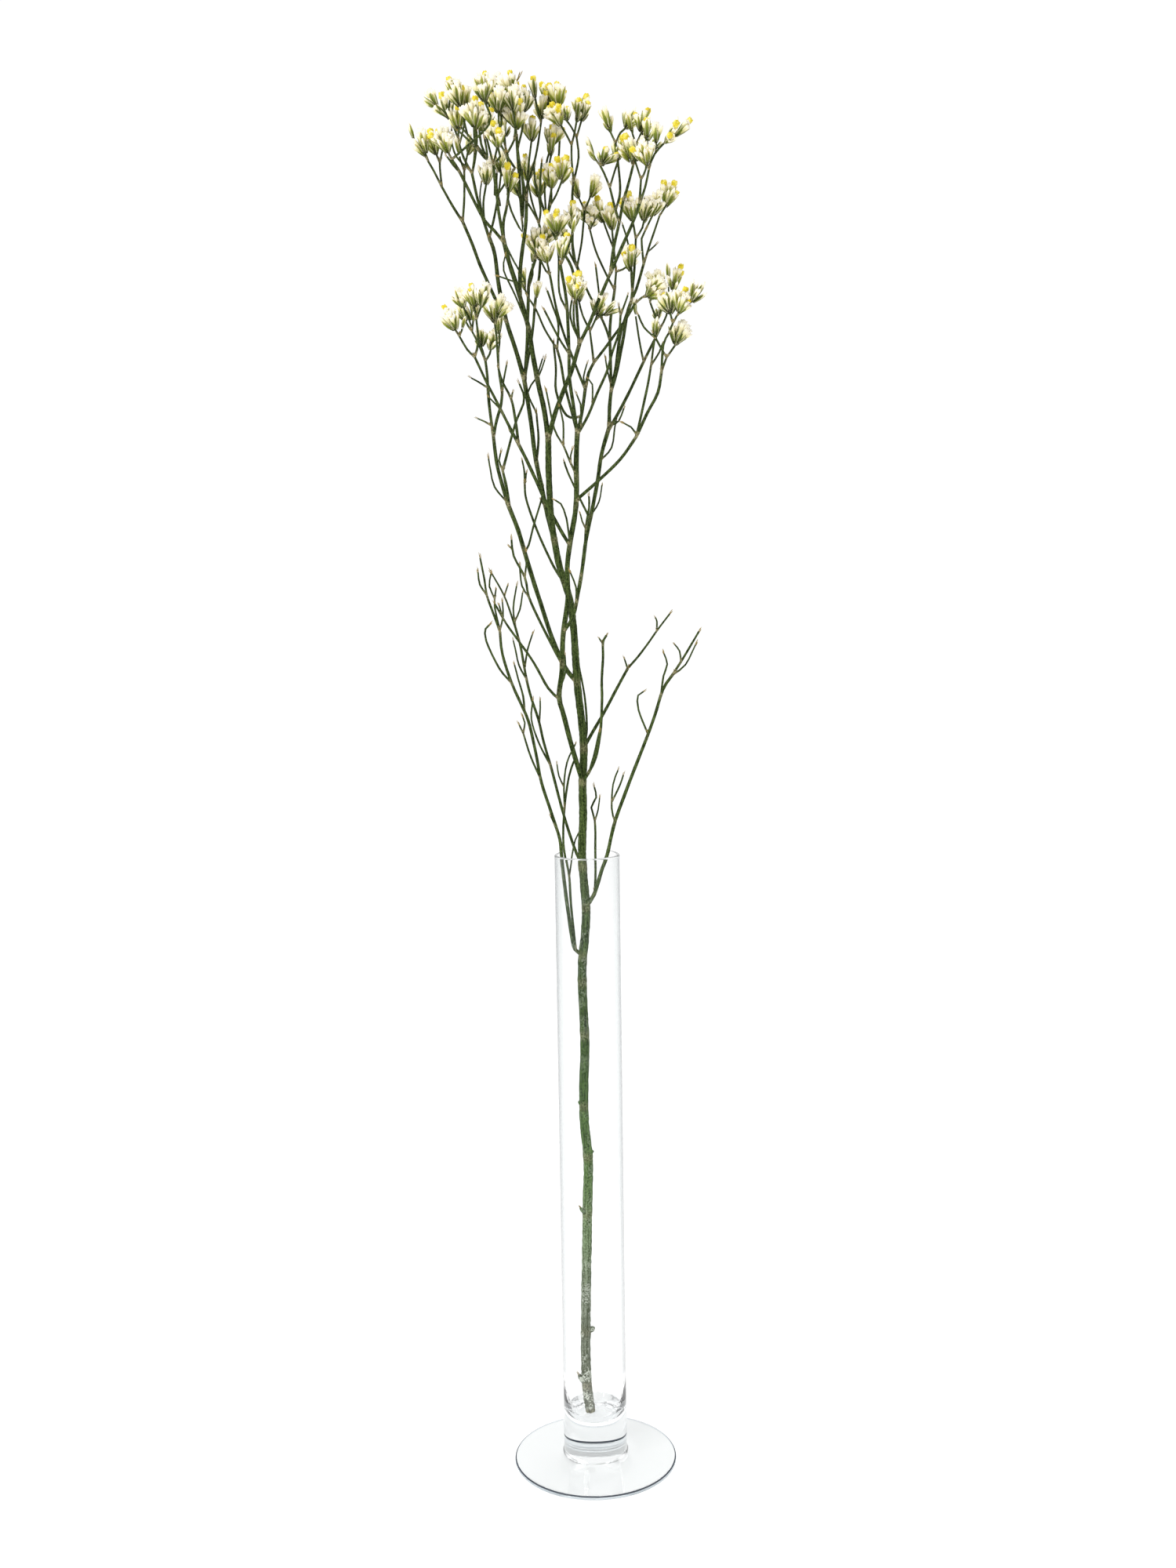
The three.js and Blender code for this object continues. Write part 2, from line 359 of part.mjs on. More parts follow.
    [0.8, 0.7, "yb", [[47, -52, 774], [51, -54, 775]]],
  ]],
  ["centre_left_spray_heads_1", "second_stem", "cream", [
    [1.0, 1.0, "ywbb", [[-10, -20, 717], [-9, -20, 720]]],
    [0.9, 0.8, "b", [[-10, -20, 718], [-6, -24, 725], [-4, -26, 730]]],
  ]],
  ["centre_left_spray_heads_2", "second_stem", "cream", [
    [1.0, 1.0, "ywybw", [[-12, -10, 731], [-12, -10, 736]]],
  ]],
  ["centre_spray", "second_stem", "green", [
    [2.1, 1.8, "", [[-1, -12, 624], [1, -6, 638], [3, -2, 652]]],
    [1.8, 1.5, "", [[3, -2, 652], [5, -2, 660], [8, 0, 666]]],
    [1.4, 1.2, "", [[3, -2, 651], [-3, 6, 667], [-8, 10, 681], [-13, 12, 698], [-16, 14, 715],
      [-17, 14, 720]]],
    [0.8, 0.6, "", [[3, -2, 652], [2, -8, 657], [4, -10, 664]]],
    [1.6, 1.3, "", [[8, 0, 666], [17, -2, 677], [27, -4, 690], [32, -6, 698]]],
  ]],
  ["centre_spray_heads_1", "centre_spray", "cream", [
    [1.1, 1.0, "ywbwb", [[-17, 14, 718], [-18, 10, 724]]],
    [1.0, 0.9, "wybb", [[-17, 14, 718], [-19, 18, 721], [-22, 22, 728]]],
  ]],
  ["centre_spray_heads_2", "centre_spray", "cream", [
    [1.2, 1.0, "", [[8, 0, 666], [7, -4, 675], [6, -6, 683]]],
    [1.0, 0.9, "wbb", [[6, -6, 683], [2, -4, 692], [0, -2, 700]]],
    [1.0, 0.9, "wbb", [[6, -6, 683], [9, -12, 688], [10, -14, 690]]],
    [0.9, 0.8, "bbb", [[9, -12, 688], [12, -8, 691], [14, -6, 692]]],
  ]],
  ["centre_spray_heads_3", "centre_spray", "cream", [
    [1.1, 1.0, "", [[32, -6, 698], [36, -8, 701]]],
    [0.9, 0.8, "wwbyb", [[36, -8, 701], [39, -10, 701]]],
  ]],
  ["right_arch", "second_stem", "green", [
    [1.9, 1.7, "", [[-4, -14, 586], [-1, -16, 589], [10, -22, 598], [22, -27, 609], [31, -32, 621]]],
    [1.7, 1.5, "", [[31, -32, 621], [37, -36, 633], [43, -40, 644], [45, -43, 655]]],
    [1.4, 1.1, "", [[31, -32, 621], [35, -28, 637], [38, -26, 650], [40, -24, 661]]],
    [0.8, 0.6, "", [[31, -32, 622], [28, -36, 626], [24, -38, 628]]],
    [1.0, 0.9, "bb", [[40, -24, 661], [41, -28, 669], [42, -30, 675]]],
    [1.0, 0.8, "", [[40, -24, 661], [45, -18, 669], [47, -16, 674]]],
    [1.1, 0.9, "", [[45, -43, 655], [48, -40, 663]]],
    [0.9, 0.9, "", [[48, -40, 663], [45, -36, 669], [41, -34, 677]]],
  ]],
  ["right_arch_heads_1", "right_arch", "cream", [
    [1.3, 1.0, "", [[45, -43, 655], [46, -46, 669], [49, -46, 675]]],
    [1.0, 0.9, "", [[49, -46, 675], [51, -50, 680]]],
    [0.9, 0.8, "yybw", [[51, -50, 680], [54, -52, 685]]],
    [0.8, 0.7, "bbb", [[53, -51, 684], [58, -56, 688], [61, -58, 690]]],
    [0.9, 0.8, "wbwb", [[51, -50, 680], [50, -44, 686]]],
  ]],
  ["right_arch_heads_2", "right_arch", "cream", [
    [0.9, 0.9, "wbbw", [[48, -40, 663], [53, -38, 670]]],
  ]],
  ["right_stem", "second_stem", "green", [
    [2.1, 2.4, "", [[-11, -14, 512], [-6, -18, 521], [-3, -16, 534], [0, -12, 550], [2, -8, 564],
      [5, -4, 578], [9, 2, 597], [12, 6, 615], [17, 10, 632]]],
    [0.9, 0.7, "", [[-4, -17, 529], [-4, -22, 538], [-7, -26, 546]]],
    [1.3, 0.9, "", [[-1, -14, 543], [1, -16, 557], [2, -18, 571], [4, -20, 583], [4, -22, 589]]],
    [0.8, 0.6, "", [[2, -18, 571], [0, -21, 575], [-1, -24, 579]]],
    [1.2, 0.8, "", [[5, -5, 577], [-1, 4, 589], [-8, 10, 605], [-10, 12, 611]]],
    [0.9, 0.7, "", [[13, 5, 611], [18, 14, 619], [20, 18, 631], [21, 18, 635]]],
    [0.8, 0.6, "", [[6, -3, 579], [10, 4, 587], [12, 12, 597]]],
    [2.3, 2.1, "", [[16, 9, 630], [17, 12, 642], [18, 14, 652]]],
    [1.7, 1.5, "", [[18, 14, 652], [18, 20, 670], [18, 24, 691], [21, 26, 711]]],
    [0.9, 0.6, "", [[18, 15, 655], [16, 10, 663], [15, 8, 669]]],
    [1.1, 0.9, "", [[21, 26, 711], [15, 28, 723], [10, 30, 735], [7, 32, 747]]],
    [1.9, 1.5, "", [[18, 14, 651], [21, 8, 665], [23, 4, 680], [26, 4, 690], [30, 4, 700]]],
    [1.4, 1.1, "", [[30, 4, 700], [32, 2, 718], [33, 0, 735]]],
    [1.0, 0.8, "", [[30, 4, 700], [31, 10, 714], [29, 18, 736], [26, 20, 747]]],
    [0.9, 0.8, "yw", [[30, 3, 706], [30, -4, 714], [30, -6, 716]]],
    [2.0, 1.6, "", [[19, 14, 651], [22, 22, 665], [26, 26, 684], [29, 28, 700], [34, 28, 712],
      [39, 28, 728]]],
    [1.2, 1.0, "", [[39, 28, 728], [43, 30, 740], [48, 32, 754]]],
    [0.8, 0.6, "", [[41, 29, 733], [43, 36, 736], [46, 38, 739]]],
  ]],
  ["right_high_spray_heads_1", "right_stem", "cream", [
    [0.9, 0.9, "ywb", [[7, 32, 747], [6, 36, 752]]],
    [0.9, 0.9, "wb", [[7, 32, 746], [8, 28, 748]]],
  ]],
  ["right_high_spray_heads_2", "right_stem", "cream", [
    [1.4, 1.0, "", [[21, 26, 711], [22, 24, 721]]],
    [0.9, 0.9, "wb", [[22, 24, 721], [26, 22, 722], [28, 20, 723]]],
    [1.0, 0.9, "", [[22, 24, 720], [21, 30, 735]]],
    [1.0, 0.9, "yywb", [[21, 30, 735], [17, 32, 746], [15, 34, 752]]],
    [1.0, 0.9, "ywbb", [[21, 30, 735], [20, 26, 746]]],
  ]],
  ["right_upper_spray_heads_1", "right_stem", "cream", [
    [1.0, 0.9, "ywybw", [[33, 0, 735], [32, -4, 740], [31, -6, 744]]],
    [1.0, 0.9, "wbbb", [[33, 0, 735], [37, 4, 742], [38, 6, 746]]],
  ]],
  ["right_outer_spray_heads_1", "right_stem", "cream", [
    [1.0, 0.9, "yyyb", [[48, 32, 754], [52, 32, 760]]],
  ]],
  ["right_outer_spray_heads_2", "right_stem", "cream", [
    [1.1, 0.9, "", [[38, 28, 726], [37, 20, 739], [39, 18, 743]]],
    [1.0, 0.9, "wbwbb", [[39, 18, 743], [43, 18, 751]]],
  ]],
  ["right_low_spray", "right_stem", "green", [
    [2.0, 1.6, "", [[16, 9, 629], [21, 14, 637], [28, 18, 650], [38, 24, 670]]],
    [0.9, 0.7, "", [[18, 11, 631], [22, 2, 633], [25, 0, 640]]],
    [1.5, 1.2, "", [[38, 24, 670], [44, 30, 682], [48, 34, 690]]],
    [1.0, 0.8, "b", [[38, 24, 669], [35, 16, 680], [33, 12, 692]]],
  ]],
  ["right_low_spray_heads_1", "right_low_spray", "cream", [
    [1.1, 1.0, "", [[48, 34, 690], [44, 30, 699], [42, 28, 704]]],
    [0.9, 0.8, "wbb", [[42, 28, 704], [42, 24, 705]]],
    [0.9, 0.8, "bw", [[46, 32, 695], [46, 40, 694], [47, 42, 696]]],
    [1.1, 1.0, "", [[48, 34, 690], [52, 38, 698], [54, 40, 708]]],
    [0.9, 0.9, "wyb", [[54, 40, 707], [50, 44, 711], [49, 46, 715]]],
    [0.9, 0.9, "ybb", [[54, 40, 708], [56, 36, 712]]],
    [0.8, 0.7, "b", [[54, 40, 706], [54, 50, 715], [54, 52, 719]]],
  ]],
  ["left_twig_stems", "right_stem", "green", [
    [1.3, 1.1, "", [[18, 22, 681], [14, 14, 691], [6, 16, 707], [0, 20, 721], [-6, 22, 734]]],
    [0.9, 0.9, "yb", [[-6, 22, 734], [-7, 26, 737]]],
    [1.1, 1.0, "", [[-1, 20, 723], [2, 30, 739], [4, 32, 758]]],
    [0.9, 0.8, "", [[13, 14, 692], [11, 6, 712], [10, 4, 720]]],
    [1.4, 1.2, "", [[0, 19, 718], [-3, 22, 732], [-3, 24, 749], [-3, 26, 765], [-2, 26, 773]]],
    [1.2, 1.0, "", [[-2, 26, 773], [1, 32, 788], [0, 34, 800]]],
  ]],
  ["left_twig_stems_heads_1", "left_twig_stems", "cream", [
    [0.9, 0.8, "wb", [[4, 32, 758], [1, 34, 765]]],
    [0.9, 0.8, "wb", [[4, 32, 758], [7, 30, 764]]],
  ]],
  ["left_twig_stems_heads_2", "left_twig_stems", "cream", [
    [0.9, 0.8, "ywbb", [[-1, 20, 724], [-3, 10, 734], [-3, 8, 743]]],
  ]],
  ["tall_stem_heads_1", "left_twig_stems", "cream", [
    [1.1, 1.0, "", [[-2, 26, 773], [-3, 22, 784], [-3, 20, 792]]],
    [1.0, 0.9, "yywyb", [[-3, 20, 792], [-6, 16, 797], [-9, 12, 801]]],
    [1.0, 0.9, "yb", [[-3, 20, 792], [-1, 26, 801], [0, 28, 807]]],
  ]],
  ["tall_stem_heads_2", "left_twig_stems", "cream", [
    [0.9, 0.9, "yywb", [[0, 34, 800], [3, 36, 810]]],
    [0.9, 0.9, "yb", [[0, 34, 800], [-3, 42, 808], [-6, 46, 813]]],
  ]],
];

// A repeatable random draw between two values.
const drawFactor = 16807;
const drawModulus = 2147483647;
let seed = 4315;
function draw([least, most]) {
  seed = (seed * drawFactor) % drawModulus;
  return least + ((most - least) * seed) / drawModulus;
}

// ---- solids --------------------------------------------------------------------------------

function toSolid(positions, triangles) {
  return new wasm.Manifold(new wasm.Mesh({
    numProp: 3,
    vertProperties: new Float32Array(positions),
    triVerts: new Uint32Array(triangles),
  }));
}

function toGeometry(solid) {
  const mesh = solid.getMesh();
  const geometry = new THREE.BufferGeometry();
  geometry.setAttribute("position", new THREE.BufferAttribute(new Float32Array(mesh.vertProperties), 3));
  geometry.setIndex(new THREE.BufferAttribute(new Uint32Array(mesh.triVerts), 1));
  return geometry;
}

// A closed mesh made of rings with the same number of points: the rings are joined in turn,
// and each floret of a head grows straight out of a four-cornered face.
class Skin {
  constructor() {
    this.positions = [];
    this.triangles = [];
  }

  point(place) {
    this.positions.push(place.x, place.y, place.z);
    return this.positions.length / 3 - 1;
  }

  at(index) {
    return new THREE.Vector3().fromArray(this.positions, index * 3);
  }

  ring(centre, radius, sides, [side, other]) {
    return Array.from({ length: sides }, (_, k) => {
      const angle = (2 * Math.PI * k) / sides;
      return this.point(centre.clone()
        .addScaledVector(side, radius * Math.cos(angle))
        .addScaledVector(other, radius * Math.sin(angle)));
    });
  }

  face(corners) {
    for (let k = 1; k + 1 < corners.length; k += 1) {
      this.triangles.push(corners[0], corners[k], corners[k + 1]);
    }
  }

  bridge(low, high) {
    low.forEach((corner, k) => {
      const next = (k + 1) % low.length;
      this.face([corner, low[next], high[next], high[k]]);
    });
  }

  close(low, tip) {
    low.forEach((corner, k) => this.face([corner, low[(k + 1) % low.length], tip]));
  }

  solid() {
    return toSolid(this.positions, this.triangles);
  }
}

// Two directions square to the line at each of its points, carried along without twisting.
function framesAlong(centres) {
  const frames = [];
  let side = new THREE.Vector3(1, 0, 0);
  centres.forEach((centre, i) => {
    const before = centres[Math.max(i - 1, 0)];
    const after = centres[Math.min(i + 1, centres.length - 1)];
    const along = after.clone().sub(before).normalize();
    if (i === 0 && Math.abs(along.x) > 0.9) side = new THREE.Vector3(0, 1, 0);
    side = side.clone().addScaledVector(along, -side.dot(along)).normalize();
    frames.push([side, along.clone().cross(side)]);
  });
  return frames;
}

// ---- the plant -----------------------------------------------------------------------------

function nearestOn(routes, point) {
  let best = null;
  routes.forEach((route) => {
    for (let i = 0; i + 1 < route.length; i += 1) {
      const found = new THREE.Line3(route[i], route[i + 1])
        .closestPointToPoint(point, true, new THREE.Vector3());
      if (best === null || found.distanceTo(point) < best.distanceTo(point)) best = found;
    }
  });
  return best;
}

// The first point of a route, moved onto the centre line that it grows from.
function joinRoot(route, carriers) {
  if (carriers.length === 0) return route;
  return [nearestOn(carriers, route[0]), ...route.slice(1)];
}

// The rings of one floret above the face that it grows from: height and radius, then its tip.
const floretForms = {
  b: { rings: [[budShoulder * budLength, budRadius]], tip: budLength },
  w: { rings: [[calyxLength, calyxRadius]], tip: calyxDip * calyxLength },
  y: { rings: [[calyxShoulder * calyxLength, calyxRadius], [calyxLength + corollaFoot, corollaRadius]],
    tip: calyxLength + corollaRise },
};

// One floret: a closed bud, an open papery calyx, or a calyx with its corolla knob.
function growFloret(skin, kind, corners, axis, grow) {
  const size = draw(floretSizes);
  const places = corners.map((corner) => skin.at(corner));
  const base = places.reduce((sum, place) => sum.add(place), new THREE.Vector3())
    .multiplyScalar(1 / places.length);
  const spokes = places.map((place) => {
    const spoke = place.sub(base);
    return spoke.addScaledVector(axis, -spoke.dot(axis)).normalize();
  });
  const form = floretForms[kind];
  let below = corners;
  form.rings.forEach(([height, radius]) => {
    const centre = base.clone().addScaledVector(axis, height * size);
    const ring = spokes.map((spoke) => skin.point(
      centre.clone().addScaledVector(spoke, radius * size + grow),
    ));
    skin.bridge(below, ring);
    below = ring;
  });
  skin.close(below, skin.point(base.clone().addScaledVector(axis, form.tip * size + grow)));
}

// The head at a shoot's tip: the first floret carries the shoot on, and up to four others
// grow out of the sides of a short core below it.
function growHead(skin, florets, ring, tip, along, side, grow) {
  const up = along.clone().add(new THREE.Vector3(0, 0, upwardPull)).normalize();
  const right = side.clone().addScaledVector(up, -side.dot(up)).normalize();
  const back = up.clone().cross(right);
  const top = tip.clone().addScaledVector(up, coreHeight);
  const above = skin.ring(top, coreRadius + grow, 4, [right, back]);
  ring.forEach((corner, k) => {
    const next = (k + 1) % 4;
    const face = [corner, ring[next], above[next], above[k]];
    const kind = florets[k + 1];
    if (!kind) {
      skin.face(face);
      return;
    }
    const angle = ((k + 0.5) * Math.PI) / 2;
    const lean = headSpread * draw(headLeans);
    const axis = up.clone()
      .addScaledVector(right, lean * Math.cos(angle))
      .addScaledVector(back, lean * Math.sin(angle))
      .normalize();
    growFloret(skin, kind, face, axis, grow);
  });
  growFloret(skin, florets[0], above, up, grow);
}

// How many sides a shoot has: four where a head grows on it, otherwise fewer the thinner it is.
function sidesOf(rootWidth, florets) {
  if (florets) return 4;
  if (rootWidth > stoutShoot) return 5;
  return rootWidth > slenderShoot ? 4 : 3;
}

// A tapered shoot, with its head of florets if it bears one.
function shootBody(route, rootWidth, tipWidth, florets, grow) {
  const sides = sidesOf(rootWidth, florets);
  const fill = sides === 3 ? slenderFill : 1;
  const skin = new Skin();
  const last = route.length - 1;
  const frames = framesAlong(route);
  const along = route[last].clone().sub(route[last - 1]).normalize();
  let below = null;
  route.forEach((place, i) => {
    const width = rootWidth + ((tipWidth - rootWidth) * i) / last;
    const stretch = i === last && !florets ? grow : 0;
    const centre = place.clone().addScaledVector(along, stretch);
    const ring = skin.ring(centre, (width * fill) / 2 + grow, sides, frames[i]);
    if (below) skin.bridge(below, ring);
    else skin.face([...ring].reverse());
    below = ring;
  });
  if (florets) growHead(skin, florets, below, route[last], along, frames[last][0], grow);
  else skin.face(below);
  return skin.solid();
}

// All of a node's shoots and florets in one body, larger all round by grow.
function nodeBody(shoots, routes, grow) {
  return shoots
    .map(([rootWidth, tipWidth, florets], i) => shootBody(routes[i], rootWidth, tipWidth, florets, grow))
    .reduce((whole, body) => whole.add(body));
}

function largestPiece(solid) {
  const pieces = solid.decompose();
  return pieces.reduce((best, piece) => (piece.volume() > best.volume() ? piece : best));
}

function boxesMeet(a, b) {
  return [0, 1, 2].every((k) => a.min[k] <= b.max[k] && b.min[k] <= a.max[k]);
}

// Each node in turn, cut back to a small gap from whatever stands before it.
function growPlant() {
  const routesOf = {};
  const earlier = [];
  return plant.map(([name, host, colour, shoots]) => {
    const routes = [];
    shoots.forEach(([, , , points]) => {
      const route = points.map((point) => new THREE.Vector3(...point));
      routes.push(joinRoot(route, routes.length ? routes : routesOf[host] || []));
    });
    routesOf[name] = routes;
    const seedBefore = seed;
    let body = nodeBody(shoots, routes, 0);
    seed = seedBefore;
    const grown = nodeBody(shoots, routes, seatGap);
    earlier.filter((other) => boxesMeet(other.boundingBox(), body.boundingBox()))
      .forEach((other) => {
        body = body.subtract(other);
      });
    earlier.push(grown);
    return { name, colour, body: largestPiece(body.simplify(shortestEdge)) };
  });
}

// ---- the vase ------------------------------------------------------------------------------

function lathe(points) {
  const profile = points.map(([radius, height]) => new THREE.Vector2(radius, height));
  return new THREE.LatheGeometry(profile, glassSides).rotateX(Math.PI / 2);
}

// The disc foot: a thin rounded rim, a top that rises gently to a short solid stub.
function footGeometry() {
  const half = footRimThickness / 2;
  return lathe([
    [0, 0],
    [footRadius - half, 0],
    [footRadius, half],
    [footRadius - half, footRimThickness],
    ...footSlope,
    [footStubRadius, footStubHeight],
    [0, footStubHeight],
  ]);
}

// The tube: a solid heel, a rounded inner floor and a polished rim.
function tubeGeometry() {
  const base = footStubHeight + seatGap;
  const inner = tubeRadius - wallThickness;
  const rimStart = vaseHeight - wallThickness / 2;
  const floor = footStubHeight + heelHeight;
  const [heelInset, heelRise] = heelRounding;
  return lathe([
    [0, base],
    [tubeRadius - heelInset, base],
    [tubeRadius, base + heelRise],
    [tubeRadius, rimStart],
    [tubeRadius - wallThickness / 2, vaseHeight],
    [inner, rimStart],
    ...innerBottom.map(([share, rise]) => [inner * share, floor + rise]),
    [0, floor],
  ]);
}

// ---- assembly ------------------------------------------------------------------------------

const group = new THREE.Group();
group.name = "dried_statice_in_vase";

function place(name, geometry, look) {
  const mesh = new THREE.Mesh(geometry, new THREE.MeshStandardMaterial(looks[look]));
  mesh.name = name;
  group.add(mesh);
}

place("vase_foot", footGeometry(), "glass");
place("vase_tube", tubeGeometry(), "glass");
growPlant().forEach(({ name, colour, body }) => {
  place(name, toGeometry(body), colour);
});

export default group;
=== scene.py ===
import json
import math
import random

import bpy
from mathutils import Matrix, Vector
from mathutils.geometry import intersect_point_line

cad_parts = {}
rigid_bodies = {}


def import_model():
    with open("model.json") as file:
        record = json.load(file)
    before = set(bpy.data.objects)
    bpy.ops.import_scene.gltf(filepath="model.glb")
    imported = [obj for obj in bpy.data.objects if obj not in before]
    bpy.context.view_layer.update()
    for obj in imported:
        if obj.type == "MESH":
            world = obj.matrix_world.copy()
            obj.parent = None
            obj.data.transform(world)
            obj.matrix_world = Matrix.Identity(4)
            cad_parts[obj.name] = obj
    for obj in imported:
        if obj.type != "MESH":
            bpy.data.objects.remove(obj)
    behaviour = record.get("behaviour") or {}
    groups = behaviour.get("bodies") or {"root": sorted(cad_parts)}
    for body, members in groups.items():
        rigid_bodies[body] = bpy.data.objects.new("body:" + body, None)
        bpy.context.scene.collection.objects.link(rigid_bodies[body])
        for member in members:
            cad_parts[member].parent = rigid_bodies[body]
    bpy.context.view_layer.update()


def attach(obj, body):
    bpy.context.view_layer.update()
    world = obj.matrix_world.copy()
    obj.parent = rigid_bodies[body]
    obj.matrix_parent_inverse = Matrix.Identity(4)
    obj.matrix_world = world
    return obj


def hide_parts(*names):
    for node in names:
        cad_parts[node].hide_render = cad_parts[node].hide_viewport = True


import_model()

# ---- Camera ----------------------------------------------------------------------------------
# It stands a metre in front of the vase, a little above the middle of the plant, and looks
# slightly down. The picture is upright, 1500 by 2000, and its sides are turned by under a degree.
camera_place = (0.0012, -0.9803, 0.5368)
camera_tilt = 6.682
camera_turn = -0.827
camera_data = bpy.data.cameras.new("studio_camera")
camera_data.sensor_width = 36
camera_data.lens = 38.23
camera = bpy.data.objects.new("studio_camera", camera_data)
camera.matrix_world = (
    Matrix.Translation(camera_place)
    @ Matrix.Rotation(math.radians(90 - camera_tilt), 4, "X")
    @ Matrix.Rotation(math.radians(camera_turn), 4, "Z")
)
bpy.context.collection.objects.link(camera)
bpy.context.scene.camera = camera
bpy.context.scene.view_settings.view_transform = "Standard"


# ---- Studio: floor and light -----------------------------------------------------------------
# A wide sheet of matt white paper under a white sky, with one soft lamp at the upper left and a
# weaker one behind, so that shadows are faint and the glass has bright paper all round it.
def linear(hex_colour):
    """An sRGB hex colour as linear red, green, blue and full alpha."""
    parts = [int(hex_colour[i : i + 2], 16) / 255 for i in (1, 3, 5)]
    return [c / 12.92 if c <= 0.04045 else ((c + 0.055) / 1.055) ** 2.4 for c in parts] + [1.0]


def add_node(tree, kind, inputs=None, stops=(), **settings):
    """A new node with its settings. An input is given a value, the socket that feeds it, or a node,
    whose first output in use feeds it. stops are the places and hex colours of a colour ramp."""
    node = tree.nodes.new(kind)
    for name, value in settings.items():
        setattr(node, name, value)
    for position, _ in stops[1:-1]:
        node.color_ramp.elements.new(position)
    for element, (position, hex_colour) in zip(node.color_ramp.elements if stops else (), stops):
        element.position = position
        element.color = linear(hex_colour)
    for name, value in (inputs or {}).items():
        if isinstance(value, bpy.types.Node):
            value = next(socket for socket in value.outputs if socket.enabled)
        if isinstance(value, bpy.types.NodeSocket):
            tree.links.new(value, node.inputs[name])
        else:
            node.inputs[name].default_value = value
    return node


def new_material(name):
    """An empty node material, and its tree."""
    material = bpy.data.materials.new(name)
    material.use_nodes = True
    material.node_tree.nodes.clear()
    return material, material.node_tree


def new_piece(name, points, faces, material):
    """A smooth mesh object whose origin is the frame's."""
    mesh = bpy.data.meshes.new(name)
    mesh.from_pydata(points, [], faces)
    mesh.polygons.foreach_set("use_smooth", [True] * len(mesh.polygons))
    mesh.materials.append(material)
    piece = bpy.data.objects.new(name, mesh)
    bpy.context.collection.objects.link(piece)
    return piece


floor_reach = 9.0
fibre_size = 0.025
paper, tree = new_material("white_paper_matt")
place = add_node(tree, "ShaderNodeTexCoord").outputs["Object"]
fibre = add_node(tree, "ShaderNodeTexNoise", {"Vector": place, "Scale": 1 / fibre_size, "Detail": 3.0})
tone = add_node(tree, "ShaderNodeMix", {0: fibre, 6: linear("#fdfdfd"), 7: linear("#ffffff")},
                data_type="RGBA")
shader = add_node(tree, "ShaderNodeBsdfPrincipled", {"Base Color": tone, "Roughness": 0.9,
                                                     "Specular IOR Level": 0.1})
add_node(tree, "ShaderNodeOutputMaterial", {"Surface": shader})
corners = [(x * floor_reach, y * floor_reach, 0) for x, y in ((-1, -1), (1, -1), (1, 1), (-1, 1))]
floor = new_piece("paper_floor", corners, [(0, 1, 2, 3)], paper)

world = bpy.data.worlds.new("white_studio")
world.use_nodes = True
world.node_tree.nodes.clear()
sky = add_node(world.node_tree, "ShaderNodeBackground", {"Color": linear("#ffffff"), "Strength": 1.03})
add_node(world.node_tree, "ShaderNodeOutputWorld", {"Surface": sky})
bpy.context.scene.world = world

lit_place = Vector((0, 0, 0.45))
for name, place, width, power in (("soft_lamp_left", (-1.3, -1.5, 1.9), 0.9, 28.0),
                                  ("soft_lamp_back", (1.1, 1.5, 1.8), 1.2, 8.0)):
    lamp_data = bpy.data.lights.new(name, "AREA")
    lamp_data.shape = "DISK"
    lamp_data.size = width
    lamp_data.energy = power
    lamp = bpy.data.objects.new(name, lamp_data)
    lamp.location = place
    lamp.rotation_euler = (lit_place - Vector(place)).to_track_quat("-Z", "Y").to_euler()
    bpy.context.collection.objects.link(lamp)


# ---- Vase ---------------------------------------------------------------------------------------
# Clear soda-lime glass. A tube with a thick heel and a dished floor is fused on a disc foot, a little
# hollow below. The joint is a small uneven fillet, and the rim and the foot's edge are fire-polished.
foot_radius = 0.050
foot_edge_rounding = 0.0013
joint_height = 0.0074
joint_spread = 0.0012
joint_bulge = 0.00016
joint_wave = 0.0004
tube_radius = 0.0195
wall = 0.0020
vase_height = 0.380
heel_top = 0.058
floor_height = 0.029
floor_radius = 0.007
glass_sides = 144
inner = tube_radius - wall
underside = ((0.0, 0.0022), (0.016, 0.0022), (0.032, 0.0003), (0.0473, 0.0))
foot_slope = ((0.0484, 0.00262), (0.037, 0.0033), (0.028, 0.0043), (0.0208, 0.0063))
fillet = ((0.0208, 0.0063), (0.0199, 0.0066), (0.0194, 0.0071), (0.0194, 0.0084))
stub_rings = (0.0084, 0.0092, 0.0105, 0.0125)
outer_rings = (0.016, 0.020, 0.040, 0.057, 0.060, 0.10, 0.20, 0.30, 0.36, 0.3775, 0.3787)
inner_rings = (0.3787, 0.3775, 0.36, 0.30, 0.20, 0.10, 0.070, 0.060)
heel_corner = ((inner, heel_top), (inner, 0.046), (0.0169, 0.0400), (0.0160, 0.0350))
dish = ((0.0160, 0.0350), (0.0138, 0.0328), (0.0118, floor_height), (floor_radius, floor_height))


def bezier(start, leave, arrive, end, steps):
    """Points of a fair curve, without its last point."""
    shares = [i / steps for i in range(steps)]
    return [tuple((1 - t) ** 3 * a + 3 * (1 - t) ** 2 * t * b + 3 * (1 - t) * t * t * c + t**3 * d
                  for a, b, c, d in zip(start, leave, arrive, end)) for t in shares]


def arc(centre, radius, start, end, steps):
    """Points of a rounded corner; angles in degrees from the outward direction."""
    turns = [math.radians(start + (end - start) * i / steps) for i in range(steps + 1)]
    return [(centre[0] + radius * math.cos(a), centre[1] + radius * math.sin(a)) for a in turns]


